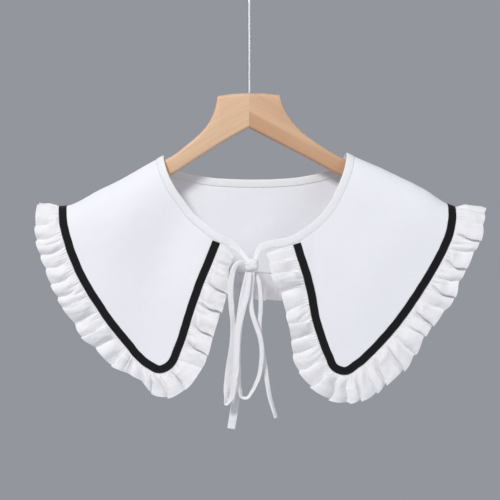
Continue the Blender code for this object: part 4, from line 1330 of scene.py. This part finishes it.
def add_knot(material):
    """The knot: a soft block whose surface is wound with the tape's folds, which slant across it."""
    points = [(0.0, 0.0, 1.0)]
    for level in range(1, KNOT_LEVELS):
        tip = math.pi * level / KNOT_LEVELS
        for step in range(KNOT_AROUND):
            turn = 2 * math.pi * step / KNOT_AROUND
            points.append((math.sin(tip) * math.cos(turn), math.sin(tip) * math.sin(turn), math.cos(tip)))
    points.append((0.0, 0.0, -1.0))
    points = np.array(points)
    power = 2 / KNOT_SQUARENESS
    shaped = points / (np.abs(points) ** power).sum(axis=1, keepdims=True) ** (1 / power)
    # Turns of tape, each lapped over the one below, with a few soft pinches
    across, _, up = shaped.T
    slant = np.stack([up, across, np.sin(3 * across)], axis=1) @ KNOT_SLANT
    turns = (slant * KNOT_TURNS + KNOT_FIRST_TURN) % 1.0
    lap = 1 - KNOT_CREASE * np.exp(-turns / KNOT_CREASE_OVER) - KNOT_TAPER * turns
    pinch = 1 + KNOT_PINCH * ripple(across * 6, up * 6, 5.0, 90)
    points = shaped * (lap * pinch)[:, None] * KNOT_HALF + KNOT_PLACE
    last = len(points) - 1
    faces = []
    for step in range(KNOT_AROUND):
        onward = (step + 1) % KNOT_AROUND
        faces.append((0, 1 + step, 1 + onward))
        for first in range(1, last - KNOT_AROUND, KNOT_AROUND):
            a, b = first + step, first + onward
            faces.append((a, a + KNOT_AROUND, b + KNOT_AROUND, b))
        faces.append((last, last - KNOT_AROUND + onward, last - KNOT_AROUND + step))
    return add_mesh("bow_knot_cloth", points, faces, points[:, [0, 2]], material)


# The ties and the knot are of the poplin copy painted a greyer white, a painted shade
ties = {}
for seed, (node, rows) in enumerate(BOW_STRIPS.items(), 80):
    ties[node] = add_tie(node + "_cloth", rows, seed, shaded_poplin)
tie_stitches = add_stitches("bow_stitches", [seam for _, seam, _ in ties.values()], white_thread)
knot = add_knot(shaded_poplin)
for node, (piece, _, cloth_long) in ties.items():
    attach(piece, "root")
    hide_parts(node)
for piece in (tie_stitches, knot):
    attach(piece, "root")
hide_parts("bow_knot")


# The studio: a small pale floor well below, a plain grey surround, a large soft light from the upper
# left and two weaker ones from the right and from behind. None of it is part of the object.

FLOOR_RADIUS = 620.0
FLOOR_LEVEL = -860.0
FLOOR_SIDES = 96
LIGHTS_AIM = (0.0, 0.0, -0.3)
# Place in metres, width, power, colour
LIGHTS = {
    "key": ((-0.85, -1.6, 0.95), 0.5, 31.0, (1.0, 0.99, 0.98)),
    "fill": ((1.3, -1.3, 0.1), 1.0, 6.5, (0.95, 0.97, 1.0)),
    "behind": ((-0.8, 1.4, 0.9), 1.2, 9.0, (1.0, 1.0, 1.0)),
}


def add_floor():
    """A round of pale grey card."""
    card = new_material("pale_card", {"Base Color": linear("D6D7DB"), "Roughness": 0.9})
    # Grit about 4 mm across: the pattern is laid over the whole width of the floor
    settings = {"Scale": 2 * FLOOR_RADIUS / 4.1333, "Detail": 2.0}
    grit = add_node(card, "ShaderNodeTexNoise", settings)
    settings = {"Strength": 0.1, "Distance": 0.0005}
    rough = add_node(card, "ShaderNodeBump", settings, {"Height": grit.outputs["Fac"]})
    finish_material(card, {"Normal": rough.outputs[0]})
    turns = np.linspace(0.0, 2 * math.pi, FLOOR_SIDES, endpoint=False)
    rim = FLOOR_RADIUS * np.stack([np.cos(turns), np.sin(turns)], axis=1)
    points = np.insert(rim, 2, FLOOR_LEVEL, axis=1)
    return add_mesh("floor", points, [tuple(range(FLOOR_SIDES))], rim, card)


def add_light(name, place, wide, power, colour):
    """A round soft light that faces the middle of the collar."""
    light = bpy.data.lights.new(name, "AREA")
    light.shape = "DISK"
    light.size = wide
    light.energy = power
    light.color = colour
    made = bpy.data.objects.new(name, light)
    bpy.context.scene.collection.objects.link(made)
    made.location = place
    x, y, z = np.array(LIGHTS_AIM) - np.array(place)
    made.rotation_euler = (math.atan2(math.hypot(x, y), -z), 0.0, math.atan2(-x, y))


add_floor()
for name, light in LIGHTS.items():
    add_light(name, *light)

world = bpy.data.worlds.new("studio")
world.use_nodes = True
world.node_tree.nodes["Background"].inputs["Color"].default_value = linear("93969D")
bpy.context.scene.world = world
bpy.context.scene.view_settings.view_transform = "Standard"
